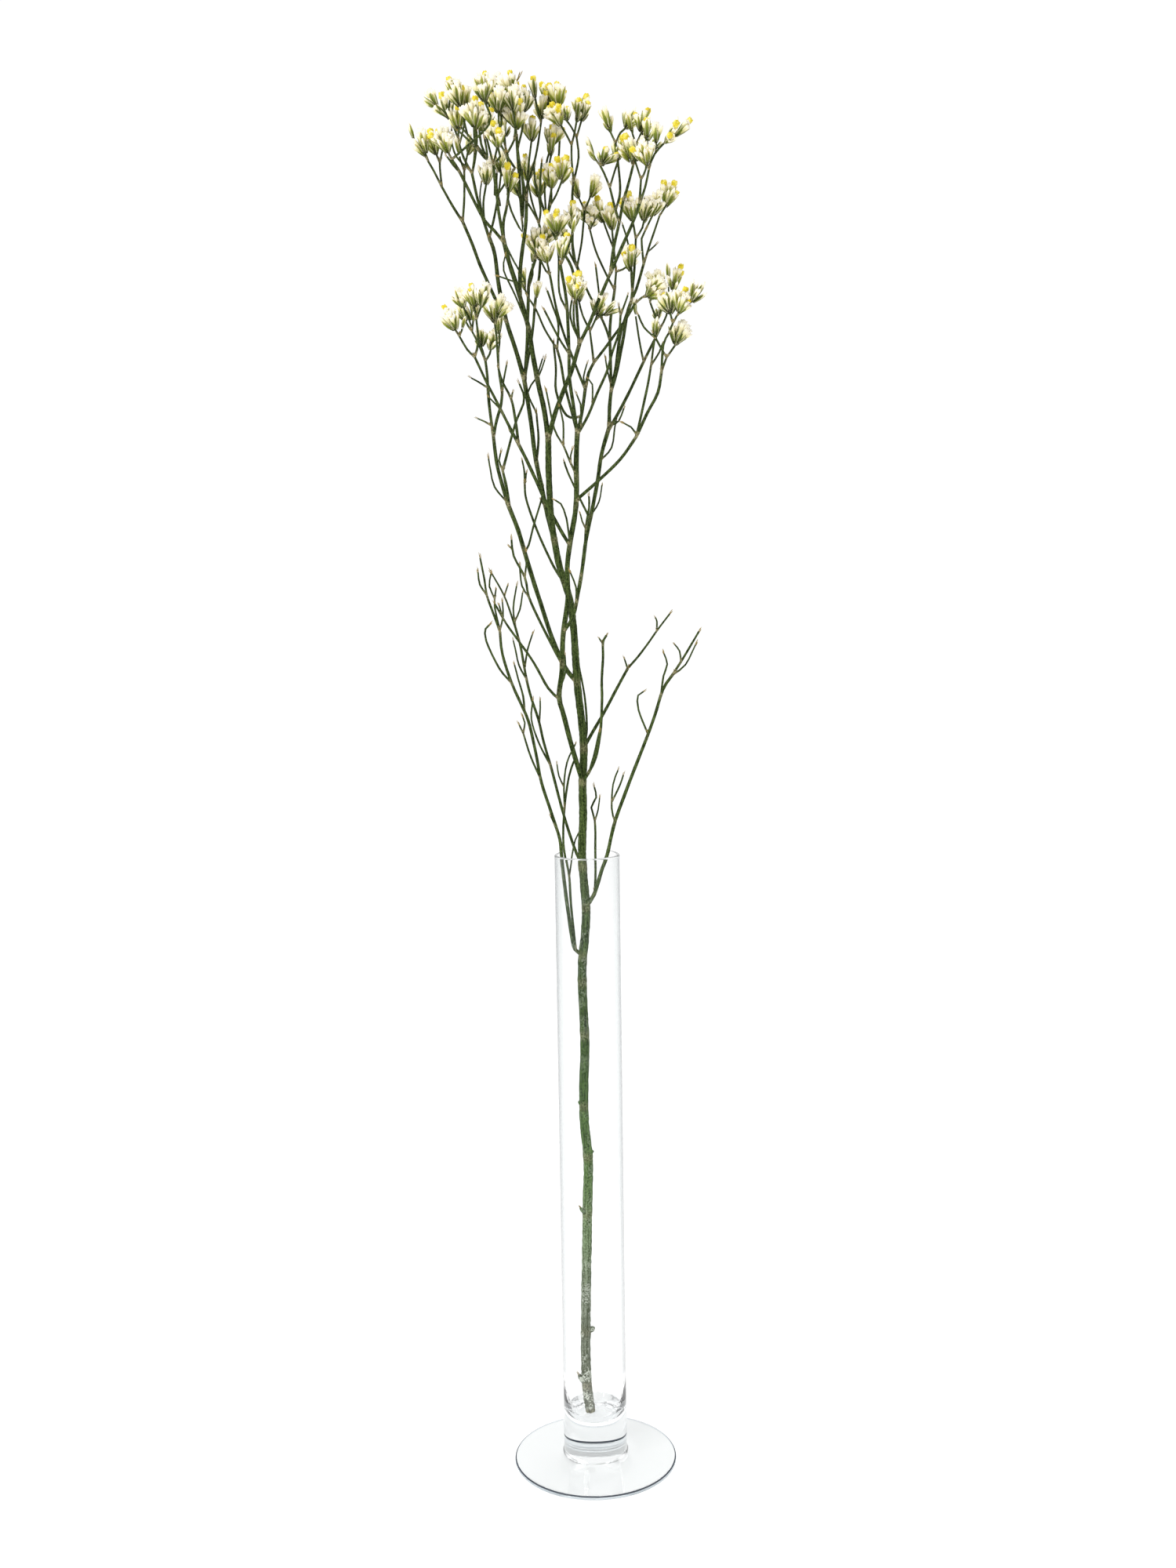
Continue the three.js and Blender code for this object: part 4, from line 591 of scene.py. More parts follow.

# Each stem has its name, the one that it grows from, and a line for every shoot: how thick the shoot
# is at its root and its tip, the florets at its tip (y with a corolla, w an open calyx, b a bud, s slim
# scales; a dot is a bare stump), and the places x,y,z that it passes through.
stems = [
    ("main_stem", "", """
    6 3.4 -3,0,29.3 -5,0,52 -5,0,86 -3,0,157 -2,0,191 -4,0,216 -4,0,238 -3,0,265 -4,0,308 -2,0,330 \
        -1,0,346 -2,0,362 -3,0,380 -2,0,403 -2,0,424 -1,0,441 -2,0,459 -4,0,478 -5,0,496 -6,1,515 \
        -8,1,531 -13,2,548 -16,2,563 -18,2,578 -19,3,601 -19,4,630
    3.4 2.2 -5,0,48 -8,-1,52 -9.5,-1,55
    3.6 2.6 . -3,0,83 -1.2,-1.5,84.5 -0.4,-2,86
    2.8 1.4 -4,0,158 -6,-3,161 -7,-3.5,163
    2.6 1.9 . -2,0,194 0,-1,197 1,-1,198
    2.2 1.6 . -5,0,226 -6.5,-1,227.5 -7,-1,229
    2 1.6 -1,0,443 3,4,450 11,10,463 19,15,477 26,20,489
    1.5 1.1 26,20,489 34,23,498 44,28,511 52,32,521
    1.1 0.9 26,20,489 25,18,492 24,16,495
    1.1 0.9 44,28,511 44,24,517 43,22,519
    1.4 1.1 -2,0,444 1,6,454 0,8,473 -3,8,491 -4,9,498
    1.6 1.3 -13,1,540 -16,14,548 -21,18,558 -27,21,572 -33,24,590 -34,26,600
    1.2 1 -34,26,600 -34,26,607 -35,24,613
    1.2 1 -34,26,599 -33,30,606
    1.8 1.3 -2,0,423 2,-6,430 6,-10,439 9,-12,455 10,-13,472 10,-14,483 11,-15,497 11,-16,506 \
        13,-18,510
    1.1 0.9 11,-16,505 9,-12,508
    1.2 1 2,-6,430 5,-14,441 8,-17,454
    """),
    ("twig_left_low", "main_stem", """
    2.3 1.6 -5,0,319 -8,-2,323 -10,-2,333 -13,-3,359 -15,-3,379 -16,-4,390 -20,-6,404 -26,-8,424 \
        -29,-10,442 -33,-12,461 -37,-14,471 -42,-15,483 -47,-18,500 -48,-20,513
    1.5 1.1 -48,-20,513 -51,-22,522 -55,-24,534 -56,-26,543 -58,-28,555
    1.2 1 -55,-24,534 -59,-22,540 -60,-20,547
    1.2 1 -48,-20,513 -51,-16,527 -51,-15,532 -54,-13,539 -53,-12,546
    1.2 0.9 -48,-20,514 -46,-24,522 -46,-28,530
    1.2 0.9 -51,-15,532 -50,-20,537
    1.4 1.1 -42,-16,483 -49,-18,492 -56,-22,508 -56,-25,515 -54,-26,517
    1.3 1 -26,-8,426 -32,-12,440 -36,-16,454 -38,-18,459
    1.1 1 -36,-16,454 -35,-14,460 -36,-13,463
    1.4 1 -34,-13,467 -36,-8,475 -39,-2,485 -41,0,493
    1.6 1.3 -8,-2,322 -10,2,349 -11,4,366 -14,6,385 -13,8,407 -10,7,426 -7,6,435
    1.2 1 -13,8,407 -13,2,422 -11,-1,435 -6,-4,446
    1.1 0.9 -13,3,420 -16,0,427 -17,-2,434
    1.1 1 -11,4,366 -9,8,378 -7,9,387 -5,10,391
    1.1 0.9 -19,-5,397 -21,-8,404
    """),
    ("twig_left_mid", "main_stem", """
    1.9 1.5 -2,0,373 -6,6,379 -10,9,390 -15,14,407 -20,17,427 -25,20,445 -28,21,459 -33,22,475 \
        -36,21,491 -38,20,503 -41,20,515
    1.3 1 -41,20,515 -42,23,526 -40,26,539
    1.2 1 -41,21,518 -38,19,525 -36,16,535
    1.3 1 -39,20,506 -43,14,522 -47,11,534 -54,8,547
    1.1 0.9 -47,11,533 -45,18,539
    1.2 1 -36,21,490 -34,26,501 -31,28,510
    1.2 0.9 -35,22,483 -39,16,492 -41,13,502 -42,12,507
    1.3 1 -22,18,431 -28,12,446 -32,10,460 -31,10,471
    1.1 1 -28,21,457 -27,24,466 -27,26,470
    """),
    ("twig_right_low", "main_stem", """
    2.5 1.7 -2,0,348 4,-2,356 9,-4,372 12,-4,380 17,-10,401 26,-16,426 33,-20,444 40,-24,463 \
        45,-28,479 51,-28,488
    1.5 1.2 51,-28,488 57,-32,498 65,-38,512
    1.6 1.1 4,-2,357 5,3,369 5,4,380 5,6,399 3,7,407 6,7,413 5,8,419
    1.1 0.9 5,6,399 7,4,406 8,3,413
    1.2 1 17,-10,400 15,-6,408 16,-4,422 19,-2,430
    1.2 1 15,-5,412 20,-8,422 22,-9,428
    1.2 1 36,-22,453 31,-18,467 31,-15,475 34,-14,477
    1.2 1 43,-27,475 45,-34,487 47,-37,494 45,-40,500
    1.2 0.9 51,-28,487 58,-26,493 64,-22,504
    1.1 0.9 55,-31,495 54,-38,501 51,-42,505
    """),
    ("second_stem", "main_stem", """
    3 3 -2,0,423 -5,-6,434 -9,-9,449 -13,-12,466 -15,-13,475 -13,-14,490 -12,-14,510 -9,-14,531 \
        -9,-14,549 -7,-14,564 -4,-14,580 -3,-14,593 -3,-13,609 -2,-12,626
    1.2 0.9 -13,-13,479 -11,-17,489 -11,-18,499
    1.2 1 -8,-14,563 -9,-18,577 -12,-21,585 -15,-22,587
    1.7 1.2 -15,-13,473 -21,-16,480 -29,-20,495 -38,-26,509 -44,-29,518 -50,-32,529
    1.1 0.9 -46,-30,522 -48,-24,528
    1.7 1.2 -13,-14,494 -18,-17,504 -26,-22,521 -31,-24,533 -33,-26,544 -39,-28,556 -40,-30,565
    1.2 1 -31,-24,532 -35,-20,539 -36,-19,550
    1.1 0.9 -33,-26,544 -32,-28,551 -32,-30,558
    1 0.9 -40,-29,559 -41,-26,561
    2.1 1.7 -2,-12,625 -4,-18,640 -6,-22,656 -6,-24,673 -7,-22,697 -10,-20,717
    1.3 1.2 -6,-24,668 -12,-28,677 -19,-34,690
    1.3 1.2 -7,-22,692 -11,-16,703 -11,-12,722 -12,-10,731
    1.7 1.5 -3,-12,625 -5,-6,638 -9,0,654 -11,5,667 -13,8,675
    1.3 1.1 -13,8,675 -20,14,687 -25,18,699 -30,20,707
    1.2 1.1 wb -30,20,707 -31,20,710
    1.1 1 w -26,18,700 -25,14,703
    1.3 1.2 -13,8,675 -12,4,689 -15,0,698 -18,-4,706
    1.7 1.3 -1,-12,624 4,-18,634 9,-24,645 15,-30,657 18,-32,667 22,-34,678 23,-34,688
    1.1 0.9 23,-34,687 22,-38,691
    1.2 1.1 23,-34,687 27,-32,698
    1.1 0.9 7,-21,640 7,-16,652 5,-14,655
    1.1 0.9 1,-14,628 0,-26,640 -2,-28,645
    1.4 1.2 -3,-13,602 -6,-16,608 -10,-18,618
    1.2 1 -10,-18,618 -15,-22,627 -18,-25,642 -19,-26,647
    1.2 1 -10,-18,618 -10,-14,631 -12,-12,640
    1.1 0.9 -6,-16,608 -6,-19,612 -5,-22,615
    """),
    ("left_arm", "main_stem", """
    2.7 2.6 -6,0,482 -10,0,489 -14,2,497 -19,4,509 -25,8,528 -32,11,551 -38,13,572 -44,14,588
    2.3 2 -44,14,588 -47,16,599 -50,18,612 -52,20,630
    1.2 1 -44,14,588 -51,10,597 -53,8,606 -54,6,613
    1.4 1.1 -34,12,559 -32,18,563 -29,20,574 -24,23,590 -23,24,597
    2.1 1.6 -44,14,585 -44,10,596 -46,8,606
    1.2 1 -46,8,606 -48,7,612 -47,6,616
    1.6 1.2 -46,8,606 -41,6,623 -37,4,635 -33,4,644 -33,3,650 -35,2,655
    1.9 1.6 -52,20,629 -54,24,646 -55,28,663 -56,30,672
    1.2 0.9 -53,21,633 -57,23,636 -61,26,638
    1.2 0.9 -55,26,656 -60,22,659 -64,20,661
    1.9 1.6 -51,20,627 -49,12,636 -46,6,644 -45,2,651
    1.2 1 -45,2,651 -44,-1,657 -42,-4,665
    1.4 1.2 -45,3,650 -47,6,664 -47,6,673
    1.2 1.2 bw -47,6,673 -46,2,679 -46,0,682
    """),
    ("left_cross", "second_stem", """
    2.1 1.9 -7,-14,562 -11,-17,568 -19,-20,583 -26,-24,599 -32,-27,612 -35,-28,618
    1.8 1.4 -35,-28,618 -40,-30,628 -46,-33,640 -52,-36,652 -58,-38,665
    1.2 0.9 -36,-28,619 -40,-24,626
    1.2 0.9 -44,-32,637 -51,-28,644
    1.7 1.3 -35,-28,618 -37,-24,634 -39,-22,644 -44,-20,654 -46,-18,661
    1.2 0.9 -39,-22,644 -38,-26,647
    """),
    ("back_left_stem", "main_stem", """
    2.9 2.6 -16,2,565 -20,8,580 -23,10,594 -27,13,615 -29,15,634 -33,18,661
    1.1 0.9 -21,9,586 -23,7,587 -24,4,589
    1.6 1.2 -26,12,612 -25,18,625 -26,20,640
    1.2 1 -26,20,640 -31,26,653 -26,26,661 -22,24,672
    2.1 1.7 -33,18,658 -31,24,680 -30,26,701 -29,24,717 -25,20,728
    1.2 1.2 b -30,24,713 -27,28,721 -27,30,726
    1.7 1.5 -32,19,661 -28,34,688 -26,36,707 -23,36,725 -22,34,745 -23,34,751
    """),
    ("far_left_spray", "back_left_stem", """
    2.8 2.2 -33,18,659 -38,20,678 -43,22,694 -47,24,714 -49,26,732 -52,27,742
    2.1 1.8 -43,22,692 -49,16,706 -57,12,724 -61,8,735 -66,6,747
    1.4 1.2 -66,6,747 -65,10,762 -65,14,777
    1.2 1.1 b -65,14,777 -67,12,783
    1.2 1.1 by -65,14,777 -63,18,788
    2 1.7 -51,27,740 -55,32,752 -58,34,762 -62,38,781
    1.5 1.2 wbb -52,28,742 -49,34,756 -46,38,773 -45,40,781
    1.1 0.9 -56,33,756 -58,42,769 -57,44,777
    """),
    ("crown_left", "main_stem", """
    3.1 2.5 -18,4,624 -21,2,640 -24,-2,654 -27,-5,671 -29,-8,685 -34,-11,704 -39,-13,720 -42,-15,733
    1.2 0.9 -29,-8,686 -36,-16,702 -42,-18,715 -41,-20,722
    1.1 0.9 -42,-15,732 -36,-22,719 -30,-24,708 -34,-26,707 -44,-28,710
    1.1 0.9 -25,-3,657 -22,-6,662 -20,-8,667
    1.9 1.6 -42,-15,731 -47,-18,737 -52,-20,742 -58,-24,753 -65,-27,767 -69,-28,773
    1.2 1.1 -65,-27,766 -68,-32,769 -71,-34,773
    1.8 1.5 -42,-15,732 -44,-20,746 -45,-24,758 -46,-28,770
    1.7 1.5 -42,-15,731 -42,-10,743 -40,-6,753 -38,-2,772 -40,0,782
    1.2 1.2 yb -41,-6,753 -39,-12,757 -39,-14,759
    2.4 1.9 -33,-11,702 -33,-6,719 -30,0,742 -29,2,758
    1.6 1.3 -29,2,758 -31,0,768 -33,-2,780 -34,-2,793
    """),
    ("crown_right", "main_stem", """
    2.9 2.3 -19,4,624 -15,0,637 -10,-6,649 -5,-10,660 -2,-13,669 0,-14,675
    2.1 1.8 0,-14,675 5,-17,684 11,-21,697 18,-25,712
    1.9 1.6 18,-25,712 20,-22,726 23,-20,739 26,-18,754
    1.8 1.5 -1,-14,674 -1,-8,688 -2,-2,706 -4,2,720 -11,6,733 -18,10,749
    1.6 1.3 23,-20,740 21,-24,746 18,-28,757
    1.5 1.2 21,-23,746 24,-14,758 23,-8,776 22,-6,786
    1.7 1.4 26,-18,752 28,-22,759 31,-26,769
    2 1.6 18,-25,711 24,-30,724 30,-35,736 34,-38,746
    1.2 1.2 0,-14,676 -4,-10,686 -5,-8,693 -4,-6,700
    """),
    ("centre_spray", "second_stem", """
    2.1 1.9 -1,-12,624 1,-6,638 3,-2,652
    1.9 1.7 3,-2,652 5,-2,660 8,0,666
    1.6 1.4 3,-2,651 -3,6,667 -8,10,681 -13,12,698 -16,14,715 -17,14,720
    1.1 0.9 3,-2,652 2,-8,657 4,-10,664
    1.7 1.5 8,0,666 17,-2,677 27,-4,690 32,-6,698
    1.6 1.3 2,-2,632 -8,6,637 -14,10,651 -14,12,665 -15,12,679
    """),
    ("right_arch", "second_stem", """
    2 1.8 -4,-14,586 -1,-16,589 10,-22,598 22,-27,609 31,-32,621
    1.8 1.7 31,-32,621 37,-36,633 43,-40,644 45,-43,655
    1.6 1.3 31,-32,621 35,-28,637 38,-26,650 40,-24,661
    1.1 0.9 31,-32,622 28,-36,626 24,-38,628
    1.2 1.2 bb 40,-24,661 41,-28,669 42,-30,675
    1.2 1.1 40,-24,661 45,-18,669 47,-16,674
    1.3 1.2 45,-43,655 48,-40,663
    1.2 1.2 48,-40,663 45,-36,669 41,-34,677
    1.2 1.1 41,-34,673 36,-30,681 33,-28,688
    """),
    ("right_stem", "second_stem", """
    2.1 2.4 -11,-14,512 -6,-18,521 -3,-16,534 0,-12,550 2,-8,564 5,-4,578 9,2,597 12,6,615 17,10,632
    1.2 1 -4,-17,529 -4,-22,538 -7,-26,546
    1.5 1.2 -1,-14,543 1,-16,557 2,-18,571 4,-20,583 4,-22,589
    1.1 0.9 2,-18,571 0,-21,575 -1,-24,579
    1.4 1.1 5,-5,577 -1,4,589 -8,10,605 -10,12,611
    1.2 1 13,5,611 18,14,619 20,18,631 21,18,635
    1.1 0.9 6,-3,579 10,4,587 12,12,597
    2.3 2.1 16,9,630 17,12,642 18,14,652
    1.8 1.7 18,14,652 18,20,670 18,24,691 21,26,711
    1.2 0.9 18,15,655 16,10,663 15,8,669
    1.3 1.2 21,26,711 15,28,723 10,30,735 7,32,747
    2 1.7 18,14,651 21,8,665 23,4,680 26,4,690 30,4,700
    1.6 1.3 30,4,700 32,2,718 33,0,735
    1.2 1.1 30,4,700 31,10,714 29,18,736 26,20,747
    1.2 1.1 yw 30,3,706 30,-4,714 30,-6,716
    2.1 1.7 19,14,651 22,22,665 26,26,684 29,28,700 34,28,712 39,28,728
    1.4 1.2 39,28,728 43,30,740 48,32,754
    1.1 0.9 41,29,733 43,36,736 46,38,739
    """),
    ("right_low_spray", "right_stem", """
    2.1 1.7 16,9,629 21,14,637 28,18,650 38,24,670
    1.2 1 18,11,631 22,2,633 25,0,640
    1.7 1.4 38,24,670 44,30,682 48,34,690
    1.2 1.1 b 38,24,669 35,16,680 33,12,692
    """),
    ("left_twig_stems", "right_stem", """
    1.5 1.3 18,22,681 14,14,691 6,16,707 0,20,721 -6,22,734
    1.2 1.2 yb -6,22,734 -7,26,737
    1.3 1.2 -1,20,723 2,30,739 4,32,758
    1.2 1.1 13,14,692 11,6,712 10,4,720
    1.6 1.4 0,19,718 -3,22,732 -3,24,749 -3,26,765 -2,26,773
    1.4 1.2 -2,26,773 1,32,788 0,34,800
    """),
]


def read_shoots(table):
    """The shoots of a table: root width, tip width, florets and places of each."""
    shoots = []
    for line in table.strip().split("\n"):
        words = line.split()
        places = [Vector([float(part) for part in word.split(",")]) for word in words if "," in word]
        root_width, tip_width, *florets = words[: -len(places)]
        shoots.append((float(root_width), float(tip_width), "".join(florets), places))
    return shoots


def nearest_on(routes, point):
    """The nearest point to it on any of the routes."""
    best = None
    for route in routes:
        for a, b in zip(route, route[1:]):
            found, share = intersect_point_line(point, a, b)
            found = a if share < 0 else b if share > 1 else found
            if best is None or (found - point).length < (best - point).length:
                best = found
    return best


def smooth_route(points, bend_step):
    """A curve through the points, as places a few millimetres apart, with how far along each is."""
    ends = [2 * points[0] - points[1], *points, 2 * points[-1] - points[-2]]
    places, shares = [], []
    for i in range(len(points) - 1):
        before, here, after, beyond = ends[i : i + 4]
        count = max(1, round((after - here).length / bend_step))
        for k in range(count):
            t = k / count
            places.append(0.5 * (2 * here + (after - before) * t
                                 + (2 * before - 5 * here + 4 * after - beyond) * t**2
                                 + (3 * here - before - 3 * after + beyond) * t**3))
            shares.append((i + t) / (len(points) - 1))
    return places + [points[-1]], shares + [1.0]


routes_of = {}


def join_root(node, host, route):
    """The route of a shoot, its first place moved onto the centre line that it grows from."""
    carriers = routes_of[node] or routes_of.get(host, [])
    if carriers:
        route[0] = nearest_on(carriers, route[0])
    routes_of[node].append(route)
    return route


def floret_seats(rng, florets, end, along):
    """Where the spikelets of one head sit: (place, form, size, axis), an upper and a lower tier."""
    up = (along + Vector((0, 0, upward_pull))).normalized()
    side = along.orthogonal().normalized()
    right = (side - up * side.dot(up)).normalized()
    back = up.cross(right)
    twist = rng.uniform(0, 0.4)
    seats = [(end + up * core_height * 0.8, florets[0], rng.uniform(*floret_size), up)]
    for k, form in enumerate(florets[1:]):
        angle = (k + 0.5) * math.pi / 2 + twist
        outward = right * math.cos(angle) + back * math.sin(angle)
        seats.append((end + up * core_height * 0.3 + outward * 1.1, form, rng.uniform(*floret_size),
                      (up + outward * head_spread * rng.uniform(0.8, 1.2)).normalized()))
    lower = len(florets) if len(florets) > 2 else len(florets) - 1
    if "s" in florets:
        lower = 0
    for k in range(lower):
        angle = (k + rng.uniform(0.8, 1.2)) * 2 * math.pi / lower + twist
        outward = right * math.cos(angle) + back * math.sin(angle)
        place = end + up * rng.uniform(*low_floret_rise) + outward * 0.9
        form = "b" if k % 2 else rng.choice(florets)
        size = rng.uniform(*low_floret_size)
        seats.append((place, form, size, (up + outward * rng.uniform(*low_floret_tilt)).normalized()))
    return seats


def plan_shoots(node, host, table, bend_step):
    """The points of a node's shoots and the edges between them, with a loose point for each scale,
    bud and floret, and the values of every point."""
    rng = hashed(node)
    routes_of[node] = []
    points, edges, axes = [], [], []
    values = {"thickness": [], "scar": [], "form": [], "size": [], "spin": []}

    def add(place, axis, thickness=0.0, scar=0.0, form=-1, size=1.0):
        points.append(place * 0.001)
        axes.append(axis)
        for label, value in zip(values, (thickness * 0.001, scar, form, size, rng.uniform(0, 6.28))):
            values[label].append(value)

    for number, (root_width, tip_width, florets, given) in enumerate(read_shoots(table)):
        route = join_root(node, host, given)
        places, shares = smooth_route(route, bend_step)
        along = (route[-1] - route[-2]).normalized()
        away = (route[1] - route[0]).normalized()
        rooted = bool(number or host)
        places.insert(1, route[0] + away * (root_width / 2 + scar_length))
        shares.insert(1, shares[0])
        if florets.isalpha():
            places.append(places[-1] + (along + Vector((0, 0, upward_pull))).normalized() * neck_length)
            shares.append(1.0)
        for i, (place, share) in enumerate(zip(places, shares)):
            width = root_width + (tip_width - root_width) * share
            nearest = min((place - fork).length for fork in forks)
            near_fork = swelling_share - nearest / (swelling_length + width)
            healing = max(float(rooted and i < 2), near_fork, 0.0)
            width *= (1 + swelling * healing) * rng.uniform(*uneven_width)
            add(place, along, width / 2, healing)
            if i:
                edges.append((len(points) - 2, len(points) - 1))
        if rooted:
            tilt = (away + Vector((0, 0, scale_lift))).normalized()
            add(route[0] + away * root_width * 0.5, tilt, form=scale_form,
                size=rng.uniform(*fork_scale_size) * (0.7 + 0.25 * root_width))
        if not florets:
            add(places[-1], along, form=scale_form + 1, size=rng.uniform(*tip_bud_size))
        if not florets.isalpha():
            continue
        for place, form, size, axis in floret_seats(rng, florets, route[-1], along):
            number_of_form = form_order.index(form) * variants + rng.randrange(variants)
            add(place, axis, form=number_of_form, size=size)
    return points, edges, axes, values


def grow(node, host, table, ribs=5, rib_depth=0.14, bend_step=4.0):
    """One piece for a node: its tapered shoots, the scales at their forks and ends, its florets."""
    points, edges, axes, values = plan_shoots(node, host, table, bend_step)
    mesh = bpy.data.meshes.new(node)
    mesh.from_pydata(points, edges, [])
    for label, listed in values.items():
        value_type = "INT" if label == "form" else "FLOAT"
        mesh.attributes.new(label, value_type, "POINT").data.foreach_set("value", listed)
    mesh.attributes.new("axis", "FLOAT_VECTOR", "POINT").data.foreach_set(
        "vector", [c for axis in axes for c in axis])
    seedling = bpy.data.objects.new(node + "_routes", mesh)
    bpy.context.collection.objects.link(seedling)
    modifier = seedling.modifiers.new("growth", "NODES")
    modifier.node_group = growth
    sizes = {"Ribs": ribs, "Rib depth": rib_depth, "Waver": waver * 0.001,
             "Waver length": waver_length * 0.001}
    for socket in growth.interface.items_tree:
        if socket.name in sizes:
            modifier[socket.identifier] = sizes[socket.name]
    evaluated = seedling.evaluated_get(bpy.context.evaluated_depsgraph_get())
    grown = bpy.data.meshes.new_from_object(evaluated)
    bpy.data.objects.remove(seedling)
    piece = bpy.data.objects.new("grown_" + node, grown)
    bpy.context.collection.objects.link(piece)
    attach(piece, "root")
    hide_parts(node)


# Dried stem: fibrous and matt, with painted highlights on its ribs and painted shade in its furrows.
# Under the old water line its skin has lifted in small pale flecks. The streaks are drawn coarser than
# the fibres, to show, and sizes are in metres.
streak_width = 0.0009
fleck_size = 0.0010
clump_size = 0.007
bark_depth = 0.0003
crown_height = 0.8
streak_drawing = 0.08
stem_skin, tree = new_material("dried_ribbed_stem")
place = add_node(tree, "ShaderNodeTexCoord").outputs["Object"]
groove, scar = (add_node(tree, "ShaderNodeAttribute", attribute_name=label).outputs["Fac"]
                for label in ("groove", "scar"))
level = add_node(tree, "ShaderNodeSeparateXYZ", {0: place}).outputs["Z"]
height = add_node(tree, "ShaderNodeMath", {0: level, 1: crown_height}, operation="DIVIDE")
by_height = add_node(tree, "ShaderNodeValToRGB", {"Fac": height}, stops=(
    (0.05, "#7b7d72"), (0.13, "#969d8e"), (0.18, "#859c73"), (0.23, "#618347"), (0.28, "#4a7033"),
    (0.345, "#305312"), (0.43, "#4a603a"), (0.47, "#4f6034"), (0.5, "#334618"), (0.8, "#2f3f15"),
    (1.0, "#39451a")))
dark = add_node(tree, "ShaderNodeMix", {0: 1.0, 6: by_height, 7: linear("#8c967c")},
                data_type="RGBA", blend_type="MULTIPLY")
light = add_node(tree, "ShaderNodeMix", {0: 1.0, 6: by_height, 7: linear("#3c4426")},
                 data_type="RGBA", blend_type="SCREEN")
drawn = add_node(tree, "ShaderNodeMapping", {"Vector": place, "Scale": (1.0, 1.0, streak_drawing)})
streak = add_node(tree, "ShaderNodeTexNoise", {"Vector": drawn, "Scale": 1 / streak_width,
                                               "Detail": 3.0})
patch = add_node(tree, "ShaderNodeTexNoise", {"Vector": place, "Scale": 1 / fleck_size, "Detail": 3.0})
# Painted light and shade: the ribs are pushed towards the lighter colour as a painted highlight, the
# furrows towards the darker one as painted shade.
rib_highlight_furrow_shade = add_node(tree, "ShaderNodeMath", {0: groove, 1: -0.35, 2: 0.3}, operation="MULTIPLY_ADD")
grainy = add_node(tree, "ShaderNodeMath", {0: streak, 1: patch}, operation="ADD")
grainy = add_node(tree, "ShaderNodeMapRange", {"Value": grainy, "From Min": 0.75, "From Max": 1.25,
                                               "To Min": -0.25, "To Max": 0.95})
tone = add_node(tree, "ShaderNodeMath", {0: rib_highlight_furrow_shade, 1: grainy}, operation="ADD")
colour = add_node(tree, "ShaderNodeMix", {0: tone, 6: dark, 7: light}, data_type="RGBA")
clump = add_node(tree, "ShaderNodeTexNoise", {"Vector": place, "Scale": 1 / clump_size, "Detail": 1.0})
both = add_node(tree, "ShaderNodeMath", {0: patch, 1: clump}, operation="MULTIPLY")
lifted = add_node(tree, "ShaderNodeValToRGB", {"Fac": both}, stops=(
    (0.29, "#000000"), (0.35, "#ffffff")))
soaked = add_node(tree, "ShaderNodeValToRGB", {"Fac": height}, stops=(
    (0.07, "#ffffff"), (0.16, "#808080"), (0.3, "#404040"), (0.42, "#808080"), (0.46, "#000000")))
flecks = add_node(tree, "ShaderNodeMix", {0: 1.0, 6: lifted, 7: soaked}, data_type="RGBA",
                  blend_type="MULTIPLY")
colour = add_node(tree, "ShaderNodeMix", {0: flecks, 6: colour, 7: linear("#d9ddd0")}, data_type="RGBA")
scabby = add_node(tree, "ShaderNodeValToRGB", {"Fac": patch}, stops=(
    (0.35, "#453f28"), (0.6, "#a39c78")))
healed = add_node(tree, "ShaderNodeMath", {0: scar, 1: 0.8}, operation="MULTIPLY")
colour = add_node(tree, "ShaderNodeMix", {0: healed, 6: colour, 7: scabby}, data_type="RGBA")
skin = add_node(tree, "ShaderNodeBump", {"Strength": 0.7, "Distance": bark_depth, "Height": grainy})
shader = add_node(tree, "ShaderNodeBsdfPrincipled", {
    "Base Color": colour, "Roughness": 0.65, "Specular IOR Level": 0.1, "IOR": 1.45, "Normal": skin})
add_node(tree, "ShaderNodeOutputMaterial", {"Surface": shader})

# The growth: edges become ribbed tapered tubes, loose points become spikelets, scales and buds.
rib_crest = 1.04
growth = bpy.data.node_groups.new("growth", "GeometryNodeTree")
growth.interface.new_socket("Geometry", in_out="INPUT", socket_type="NodeSocketGeometry")
for name, socket_kind in (("Ribs", "Int"), ("Rib depth", "Float"), ("Waver", "Float"),
                          ("Waver length", "Float")):
    growth.interface.new_socket(name, in_out="INPUT", socket_type="NodeSocket" + socket_kind)
growth.interface.new_socket("Geometry", in_out="OUTPUT", socket_type="NodeSocketGeometry")
given = add_node(growth, "NodeGroupInput").outputs
value_types = {"thickness": "FLOAT", "form": "INT", "size": "FLOAT", "spin": "FLOAT",
               "axis": "FLOAT_VECTOR", "kind": "FLOAT"}
kept = {label: add_node(growth, "GeometryNodeInputNamedAttribute", {"Name": label}, data_type=kind)
        for label, kind in value_types.items()}
routes = add_node(growth, "GeometryNodeMeshToCurve", {0: given["Geometry"]})
fineness = add_node(growth, "ShaderNodeMath", {0: 1.0, 1: given["Waver length"]}, operation="DIVIDE")
drift = add_node(growth, "ShaderNodeTexNoise", {"Scale": fineness, "Detail": 1.0}).outputs["Color"]
centred = add_node(growth, "ShaderNodeVectorMath", {0: drift, 1: (0.5, 0.5, 0.5)}, operation="SUBTRACT")
offset = add_node(growth, "ShaderNodeVectorMath", {0: centred, "Scale": given["Waver"]},
                  operation="SCALE")
wavering = add_node(growth, "GeometryNodeSetPosition", {"Geometry": routes, "Offset": offset})
corners = add_node(growth, "ShaderNodeMath", {0: given["Ribs"], 1: 2.0}, operation="MULTIPLY")
outline = add_node(growth, "GeometryNodeCurvePrimitiveCircle", {"Resolution": corners, "Radius": 1.0})
number = add_node(growth, "GeometryNodeInputIndex")
odd = add_node(growth, "ShaderNodeMath", {0: number, 1: 2.0}, operation="MODULO")
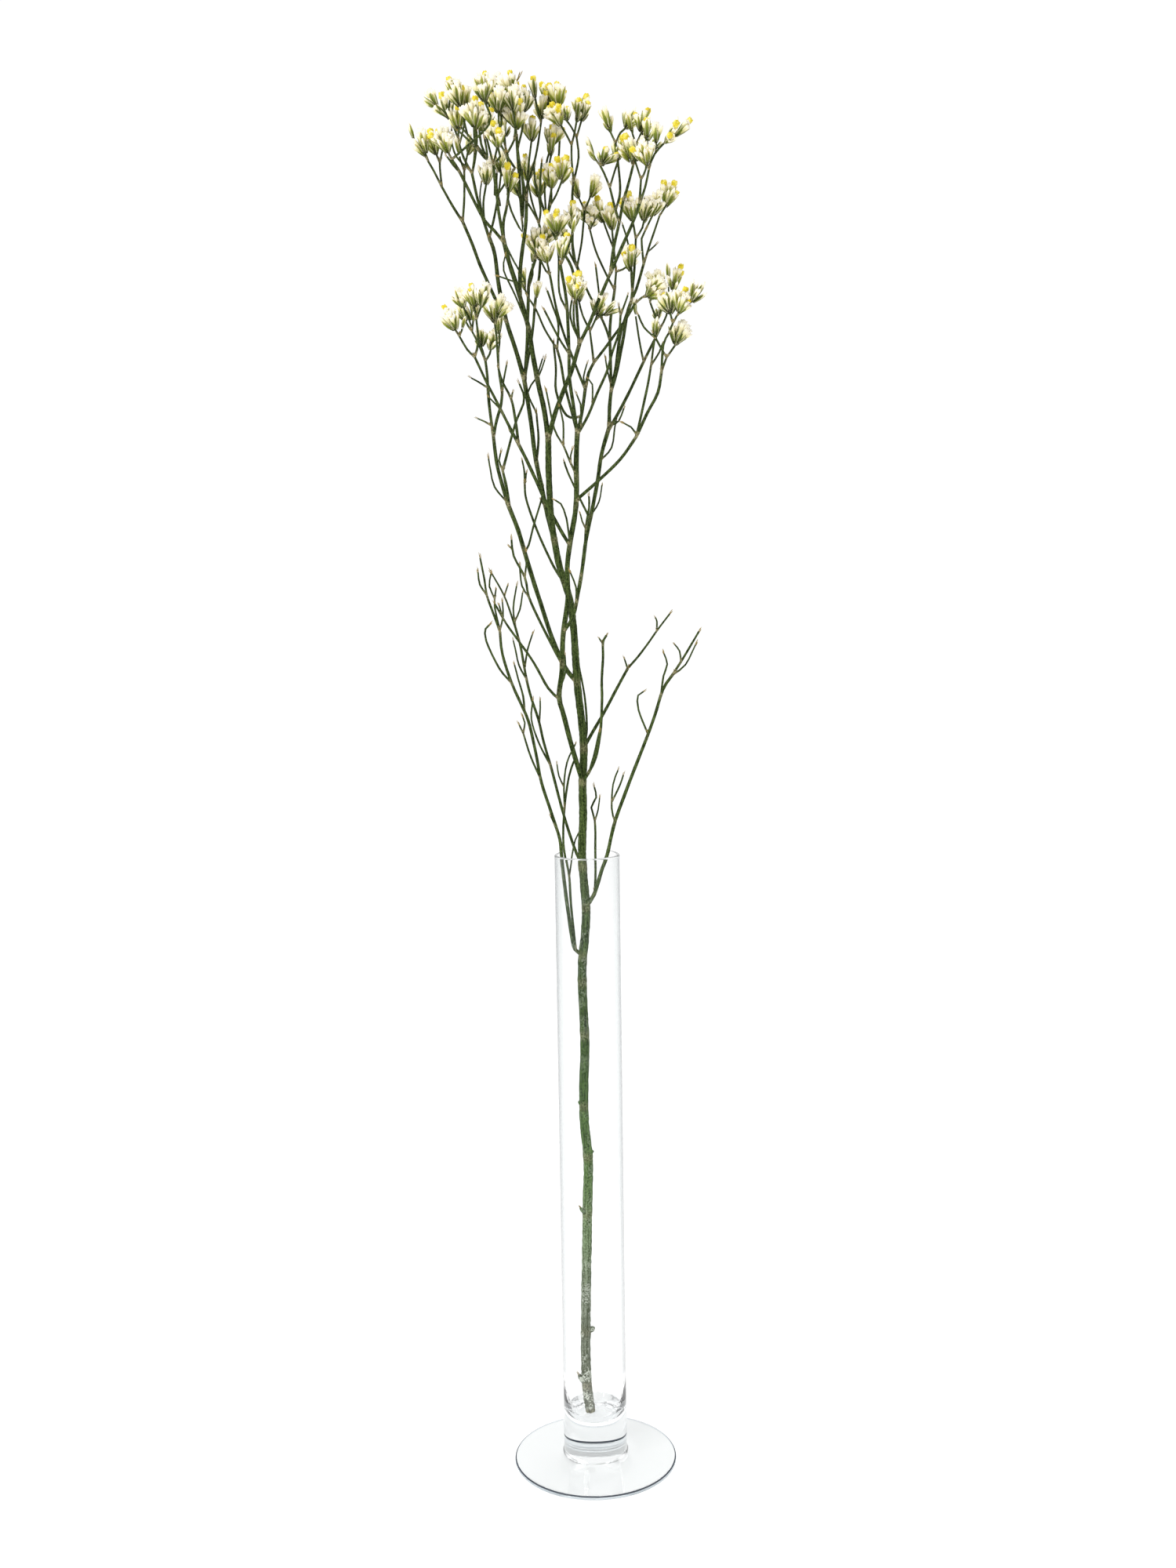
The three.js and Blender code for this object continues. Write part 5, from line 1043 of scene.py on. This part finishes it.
grooved = add_node(growth, "GeometryNodeStoreNamedAttribute", {
    "Geometry": outline, "Name": "groove", "Value": odd}, data_type="FLOAT", domain="POINT")
dent = add_node(growth, "ShaderNodeMath", {0: odd, 1: given["Rib depth"]}, operation="MULTIPLY")
shrink = add_node(growth, "ShaderNodeMath", {0: rib_crest, 1: dent}, operation="SUBTRACT")
where = add_node(growth, "GeometryNodeInputPosition")
ribbed_place = add_node(growth, "ShaderNodeVectorMath", {0: where, "Scale": shrink}, operation="SCALE")
ribbed = add_node(growth, "GeometryNodeSetPosition", {"Geometry": grooved, "Position": ribbed_place})
tubes = add_node(growth, "GeometryNodeCurveToMesh", {
    "Curve": wavering, "Profile Curve": ribbed, "Scale": kept["thickness"], "Fill Caps": True})
tubes = add_node(growth, "GeometryNodeStoreNamedAttribute", {
    "Geometry": tubes, "Name": "kind", "Value": float(kinds["stem"])}, data_type="FLOAT", domain="POINT")
is_spot = add_node(growth, "FunctionNodeCompare", {"A": kept["form"], "B": -0.5}, data_type="FLOAT",
                   operation="GREATER_THAN")
spots = add_node(growth, "GeometryNodeSeparateGeometry", {0: given["Geometry"], "Selection": is_spot},
                 domain="POINT")
library = add_node(growth, "GeometryNodeCollectionInfo", {
    "Collection": templates, "Separate Children": True, "Reset Children": True})
aim = add_node(growth, "FunctionNodeAlignRotationToVector", {"Vector": kept["axis"]}, axis="Z")
spin = add_node(growth, "FunctionNodeAxisAngleToRotation", {"Axis": (0, 0, 1), "Angle": kept["spin"]})
turned_by = add_node(growth, "FunctionNodeRotateRotation", {"Rotation": aim, "Rotate By": spin},
                     rotation_space="LOCAL")
sprouts = add_node(growth, "GeometryNodeInstanceOnPoints", {
    "Points": spots, "Instance": library, "Pick Instance": True, "Instance Index": kept["form"],
    "Rotation": turned_by, "Scale": kept["size"]})
whole = add_node(growth, "GeometryNodeJoinGeometry")
growth.links.new(tubes.outputs[0], whole.inputs[0])
growth.links.new(sprouts.outputs[0], whole.inputs[0])
smooth = add_node(growth, "GeometryNodeSetShadeSmooth", {0: whole, "Shade Smooth": True})
real = add_node(growth, "GeometryNodeRealizeInstances", {0: smooth})
is_stem = add_node(growth, "FunctionNodeCompare", {"A": kept["kind"], "B": kinds["stem"] - 0.5},
                   data_type="FLOAT", operation="GREATER_THAN")
clothed = add_node(growth, "GeometryNodeSetMaterial", {"Geometry": real, "Material": petal})
clothed = add_node(growth, "GeometryNodeSetMaterial", {
    "Geometry": clothed, "Selection": is_stem, "Material": stem_skin})
add_node(growth, "NodeGroupOutput", {"Geometry": clothed})

forks = [shoot[3][0] for node, host, table in stems for shoot in read_shoots(table)]
forks += [Vector(knot) for knot in old_knots]
for node, host, table in stems:
    if node == "main_stem":
        grow(node, host, table, ribs=8, rib_depth=0.07, bend_step=1.5)
    else:
        grow(node, host, table)


# ---- Flower heads -------------------------------------------------------------------------------
# The flowering tips of each spray: short stalks that end in tight wedges of spikelets. Each stalk
# grows out of the stem named beside it, and each line is a shoot, as in the list of stems.
heads = [
    ("left_low_spray_heads_1", "left_arm", """
    1.5 1.2 -56,30,672 -60,33,682 -64,36,690
    1.3 1.2 wbb -64,36,690 -66,38,693 -68,42,697
    1.2 1.2 wbb -64,36,690 -63,32,695
    1.2 1.2 wbbw -64,35,691 -66,28,698 -68,24,702
    1.3 1.2 wbb -56,30,672 -58,38,679 -59,42,682
    1.3 1.2 wbb -56,30,672 -53,22,675 -52,18,677
    """),
    ("left_cross_heads_1", "left_cross", """
    1.4 1.2 -58,-38,665 -62,-40,669 -66,-42,676
    1.2 1.1 ybbwb -66,-42,676 -68,-44,679
    1.2 1.1 b -66,-42,676 -65,-38,679
    1.4 1.2 -58,-38,665 -56,-36,674 -57,-34,686
    1.2 1.2 ywbbb -57,-34,686 -58,-32,693
    1.2 1.2 wbbb -57,-34,686 -54,-38,692
    """),
    ("left_cross_heads_2", "left_cross", """
    1.2 1.2 wbb -46,-18,661 -47,-16,681 -48,-14,688
    1.2 1.2 wb -48,-15,686 -46,-18,690
    """),
    ("far_left_spray_heads_1", "far_left_spray", """
    1.6 1.4 -66,6,747 -72,2,756 -77,0,765
    1.3 1.2 -77,0,765 -81,-3,773 -84,-5,778
    1.2 1.2 wyb -84,-5,778 -85,-7,781
    1.1 1 b -84,-6,779 -90,-4,786 -91,-4,788
    1.3 1.2 -77,0,765 -78,2,776 -78,2,779
    1.2 1.1 yyb -78,2,779 -80,4,784
    1.2 1.1 wyb -78,2,779 -76,-1,785
    """),
    ("top_left_spray_heads_1", "far_left_spray", """
    1.6 1.3 -62,38,781 -67,40,791 -70,42,801
    1.3 1.2 yywb -70,42,801 -70,44,808
    1.3 1.2 yywyb -70,42,802 -73,50,811 -76,52,817
    1.4 1.2 wybbw -62,38,781 -60,34,792 -60,32,806
    1.2 1.2 wyb -60,34,792 -63,26,799 -67,24,815
    1.2 1.2 yw -65,34,811 -67,33,816 -70,31,821
    1.2 1.1 wb -78,44,816 -75,40,819 -74,36,822
    1.2 1.2 wwb -74,52,814 -79,56,820 -83,60,825
    1.2 1.2 wyb -67,40,800 -66,38,809 -65,36,817
    1.2 1.1 -68,36,781 -71,38,791 -74,42,801 -74,44,808
    1.3 1.2 -62,38,781 -60,40,791 -59,42,801 -59,42,806
    """),
    ("top_left_spray_heads_2", "far_left_spray", """
    1.5 1.2 wbbw -55,32,752 -55,26,762 -53,22,771
    """),
    ("crown_left_outer_heads_1", "crown_left", """
    1.2 1.2 wyyb -69,-28,773 -71,-30,777
    1.3 1.2 wywbw -47,-32,775 -47,-48,786 -49,-52,797
    1.2 1.2 ybwb -47,-30,772 -55,-34,778 -55,-38,787
    1.6 1.4 -46,-28,768 -50,-24,774 -53,-20,783 -54,-18,791
    1.3 1.2 -46,-28,769 -49,-34,774 -50,-38,781
    1.2 1.2 -46,-28,767 -54,-8,783 -61,6,794 -66,14,801
    1.2 1.2 -46,-28,766 -56,-14,782 -62,-6,790 -67,2,796
    """),
    ("crown_left_outer_heads_2", "crown_left", """
    1.3 1.2 yywby -46,-28,770 -48,-30,778 -50,-32,786
    1.3 1.2 ywbyb -46,-27,768 -42,-34,773 -43,-38,777
    1.2 1.2 wbywb -46,-28,770 -43,-22,786 -43,-20,800
    """),
    ("crown_left_mid_heads_1", "crown_left", """
    1.3 1.2 wyb -40,0,782 -41,4,794
    1.3 1.2 yywb -40,0,781 -35,-6,789 -34,-8,794
    1.3 1.2 ywbby -40,-1,779 -47,8,798 -50,10,814
    1.2 1.2 wyw -42,-7,796 -43,-2,805 -44,2,814
    1.2 1.2 ybw -41,-8,799 -47,-4,808 -49,-2,815
    1.2 1.2 wwbb -40,0,787 -42,-6,794 -42,-8,802
    1.2 1.2 bbb -35,-6,789 -34,-14,794 -35,-18,801
    1.2 1.1 -32,-2,769 -35,-8,773 -38,-12,776 -39,-14,780
    1.3 1.2 -40,-10,752 -46,-4,759 -47,2,767 -48,6,776
    1.3 1.2 -42,-10,743 -44,-2,754 -46,4,765 -46,8,774
    """),
    ("crown_centre_heads_1", "crown_left", """
    1.2 1.2 wbbw -34,-2,793 -35,-2,805
    1.1 0.9 s -35,-2,805 -38.5,3,812.5 -37.8,4,815.5 -35.8,4.4,818.2
    1.7 1.6 -32,0,738 -32,6,750 -31,10,764 -32,12,777
    1.2 1.2 -28,2,729 -32,6,741 -38,8,753 -40,8,761
    1.2 1.2 -29,2,754 -33,4,759 -36,4,765
    """),
    ("crown_centre_heads_2", "crown_left", """
    1.3 1.2 yywbb -34,-2,785 -31,8,798 -30,10,808
    1.2 1.2 ybw -32,5,803 -34,2,808 -35,0,813
    """),
    ("crown_centre_heads_3", "crown_left", """
    1.4 1.2 ybyb -29,2,758 -28,10,777 -26,14,793
    """),
    ("crown_centre_heads_4", "crown_left", """
    1.4 1.2 ywbyb -28,1,762 -24,18,785 -20,22,808
    1.2 1.2 yb -21,17,806 -22,14,810 -23,12,814
    """),
    ("mid_left_spray_heads_1", "back_left_stem", """
    1.3 1.2 wbyb -25,20,728 -25,16,732
    """),
    ("mid_left_spray_heads_2", "back_left_stem", """
    1.3 1.2 ybwb -22,35,739 -21,30,737 -20,28,738
    """),
    ("mid_left_spray_heads_3", "back_left_stem", """
    1.3 1.2 ywbbb -23,34,751 -27,30,764 -29,28,775
    1.3 1.2 yb -23,33,753 -29,38,763 -34,42,770
    1.3 1.2 ybb -23,34,751 -22,40,760 -23,42,768
    """),
    ("crown_right_heads_1", "crown_right", """
    1.3 1.2 0,-14,675 -3,-20,686 -3,-24,695
    1.2 1.2 yyywb -3,-24,695 -2,-26,698
    """),
    ("crown_right_back_heads_1", "crown_right", """
    1.4 1.2 ywyyb -18,10,749 -15,8,758 -15,6,765
    1.2 1.2 yyb -16,8,756 -12,0,760 -9,-4,766
    1.2 1.2 yb -15,6,764 -16,14,778 -15,16,785
    1.2 1.2 yybwy -18,10,749 -19,18,768 -18,20,781 -15,22,792
    1.3 1.2 -16,10,744 -20,14,757 -24,18,769 -25,20,780
    1.3 1.2 -18,10,749 -21,4,758 -21,0,768 -20,-2,777
    1.3 1.2 -18,10,752 -15,24,769 -11,28,785 -10,30,798
    """),
    ("top_right_left_heads_1", "crown_right", """
    1.2 1.2 18,-28,757 15,-30,764 13,-30,768
    1.1 1.1 yyb 13,-30,768 14,-26,770
    1.1 1.1 bb 13,-30,768 10,-34,771
    1.2 1.2 ywb 18,-28,757 21,-22,767 23,-20,773
    """),
    ("top_right_left_heads_2", "crown_right", """
    1.2 1.2 wb 22,-6,786 19,-4,793
    1.2 1.2 bwbb 23,-6,783 25,2,794 28,4,797
    """),
    ("top_right_mid_heads_1", "crown_right", """
    1.2 1.2 yyb 31,-26,769 30,-28,771
    1.2 1.1 wb 31,-26,769 33,-24,773
    1.3 1.2 31,-26,769 33,-18,782
    1.2 1.1 yyb 33,-18,782 36,-16,789
    1.2 1.1 bb 33,-18,782 31,-22,787
    """),
    ("top_right_outer_heads_1", "crown_right", """
    1.5 1.2 34,-38,746 35,-36,759
    1.1 1.1 w 35,-36,759 33,-34,766 32,-34,769
    1.2 1.2 yb 35,-36,759 38,-30,766 39,-26,778 39,-24,782
    1.5 1.2 34,-38,746 37,-42,754 39,-46,762
    1.2 1.2 wwyb 39,-46,762 38,-48,764
    1.2 1.1 39,-46,763 42,-50,769 47,-52,774
    1.1 1.1 wb 42,-50,770 43,-46,774
    1.1 1 yb 47,-52,774 48,-54,774
    1.1 1 yb 47,-52,774 51,-54,775
    """),
    ("centre_left_spray_heads_1", "second_stem", """
    1.2 1.2 ywbb -10,-20,717 -9,-20,720
    1.2 1.1 b -10,-20,718 -6,-24,725 -4,-26,730
    """),
    ("centre_left_spray_heads_2", "second_stem", """
    1.2 1.2 ywybw -12,-10,731 -12,-10,736
    """),
    ("centre_spray_heads_1", "centre_spray", """
    1.3 1.2 ywbwb -17,14,718 -18,10,724
    1.2 1.2 wybb -17,14,718 -19,18,721 -22,22,728
    """),
    ("centre_spray_heads_2", "centre_spray", """
    1.4 1.2 8,0,666 7,-4,675 6,-6,683
    1.2 1.2 wbb 6,-6,683 2,-4,692 0,-2,700
    1.2 1.2 wbb 6,-6,683 9,-12,688 10,-14,690
    1.2 1.1 bbb 9,-12,688 12,-8,691 14,-6,692
    """),
    ("centre_spray_heads_3", "centre_spray", """
    1.3 1.2 32,-6,698 36,-8,701
    1.2 1.1 wwbyb 36,-8,701 39,-10,701
    """),
    ("right_arch_heads_1", "right_arch", """
    1.5 1.2 45,-43,655 46,-46,669 49,-46,675
    1.2 1.2 49,-46,675 51,-50,680
    1.2 1.1 yybw 51,-50,680 54,-52,685
    1.1 1 bbb 53,-51,684 58,-56,688 61,-58,690
    1.2 1.1 wbwb 51,-50,680 50,-44,686
    """),
    ("right_arch_heads_2", "right_arch", """
    1.2 1.2 wbbw 48,-40,663 53,-38,670
    """),
    ("right_high_spray_heads_1", "right_stem", """
    1.2 1.2 ywb 7,32,747 6,36,752
    1.2 1.2 wb 7,32,746 8,28,748
    """),
    ("right_high_spray_heads_2", "right_stem", """
    1.6 1.2 21,26,711 22,24,721
    1.2 1.2 wb 22,24,721 26,22,722 28,20,723
    1.2 1.2 22,24,720 21,30,735
    1.2 1.2 yywb 21,30,735 17,32,746 15,34,752
    1.2 1.2 ywbb 21,30,735 20,26,746
    """),
    ("right_upper_spray_heads_1", "right_stem", """
    1.2 1.2 ywybw 33,0,735 32,-4,740 31,-6,744
    1.2 1.2 wbbb 33,0,735 37,4,742 38,6,746
    """),
    ("right_outer_spray_heads_1", "right_stem", """
    1.2 1.2 yyyb 48,32,754 52,32,760
    """),
    ("right_outer_spray_heads_2", "right_stem", """
    1.3 1.2 38,28,726 37,20,739 39,18,743
    1.2 1.2 wbwbb 39,18,743 43,18,751
    """),
    ("right_low_spray_heads_1", "right_low_spray", """
    1.3 1.2 48,34,690 44,30,699 42,28,704
    1.2 1.1 wbb 42,28,704 42,24,705
    1.2 1.1 bw 46,32,695 46,40,694 47,42,696
    1.3 1.2 48,34,690 52,38,698 54,40,708
    1.2 1.2 wbb 54,40,707 50,44,711 49,46,715
    1.2 1.2 ybb 54,40,708 56,36,712
    1.1 1 b 54,40,706 54,50,715 54,52,719
    """),
    ("left_twig_stems_heads_1", "left_twig_stems", """
    1.2 1.1 wb 4,32,758 1,34,765
    1.2 1.1 wb 4,32,758 7,30,764
    """),
    ("left_twig_stems_heads_2", "left_twig_stems", """
    1.2 1.1 ywbb -1,20,724 -3,10,734 -3,8,743
    """),
    ("tall_stem_heads_1", "left_twig_stems", """
    1.3 1.2 -2,26,773 -3,22,784 -3,20,792
    1.2 1.2 yywyb -3,20,792 -6,16,797 -9,12,801
    1.2 1.2 yb -3,20,792 -1,26,801 0,28,807
    1.2 1.2 ywyw -9,12,801 -10,14,808 -10,16,812
    1.1 1.1 yb -12,14,806 -14,16,810 -16,18,814
    """),
    ("tall_stem_heads_2", "left_twig_stems", """
    1.2 1.2 yywb 0,34,800 3,36,810
    1.2 1.2 yb 0,34,800 -3,42,808 -6,46,813
    """),
]
for node, host, table in heads:
    grow(node, host, table)

for template in list(templates.objects):
    bpy.data.objects.remove(template)
bpy.data.collections.remove(templates)
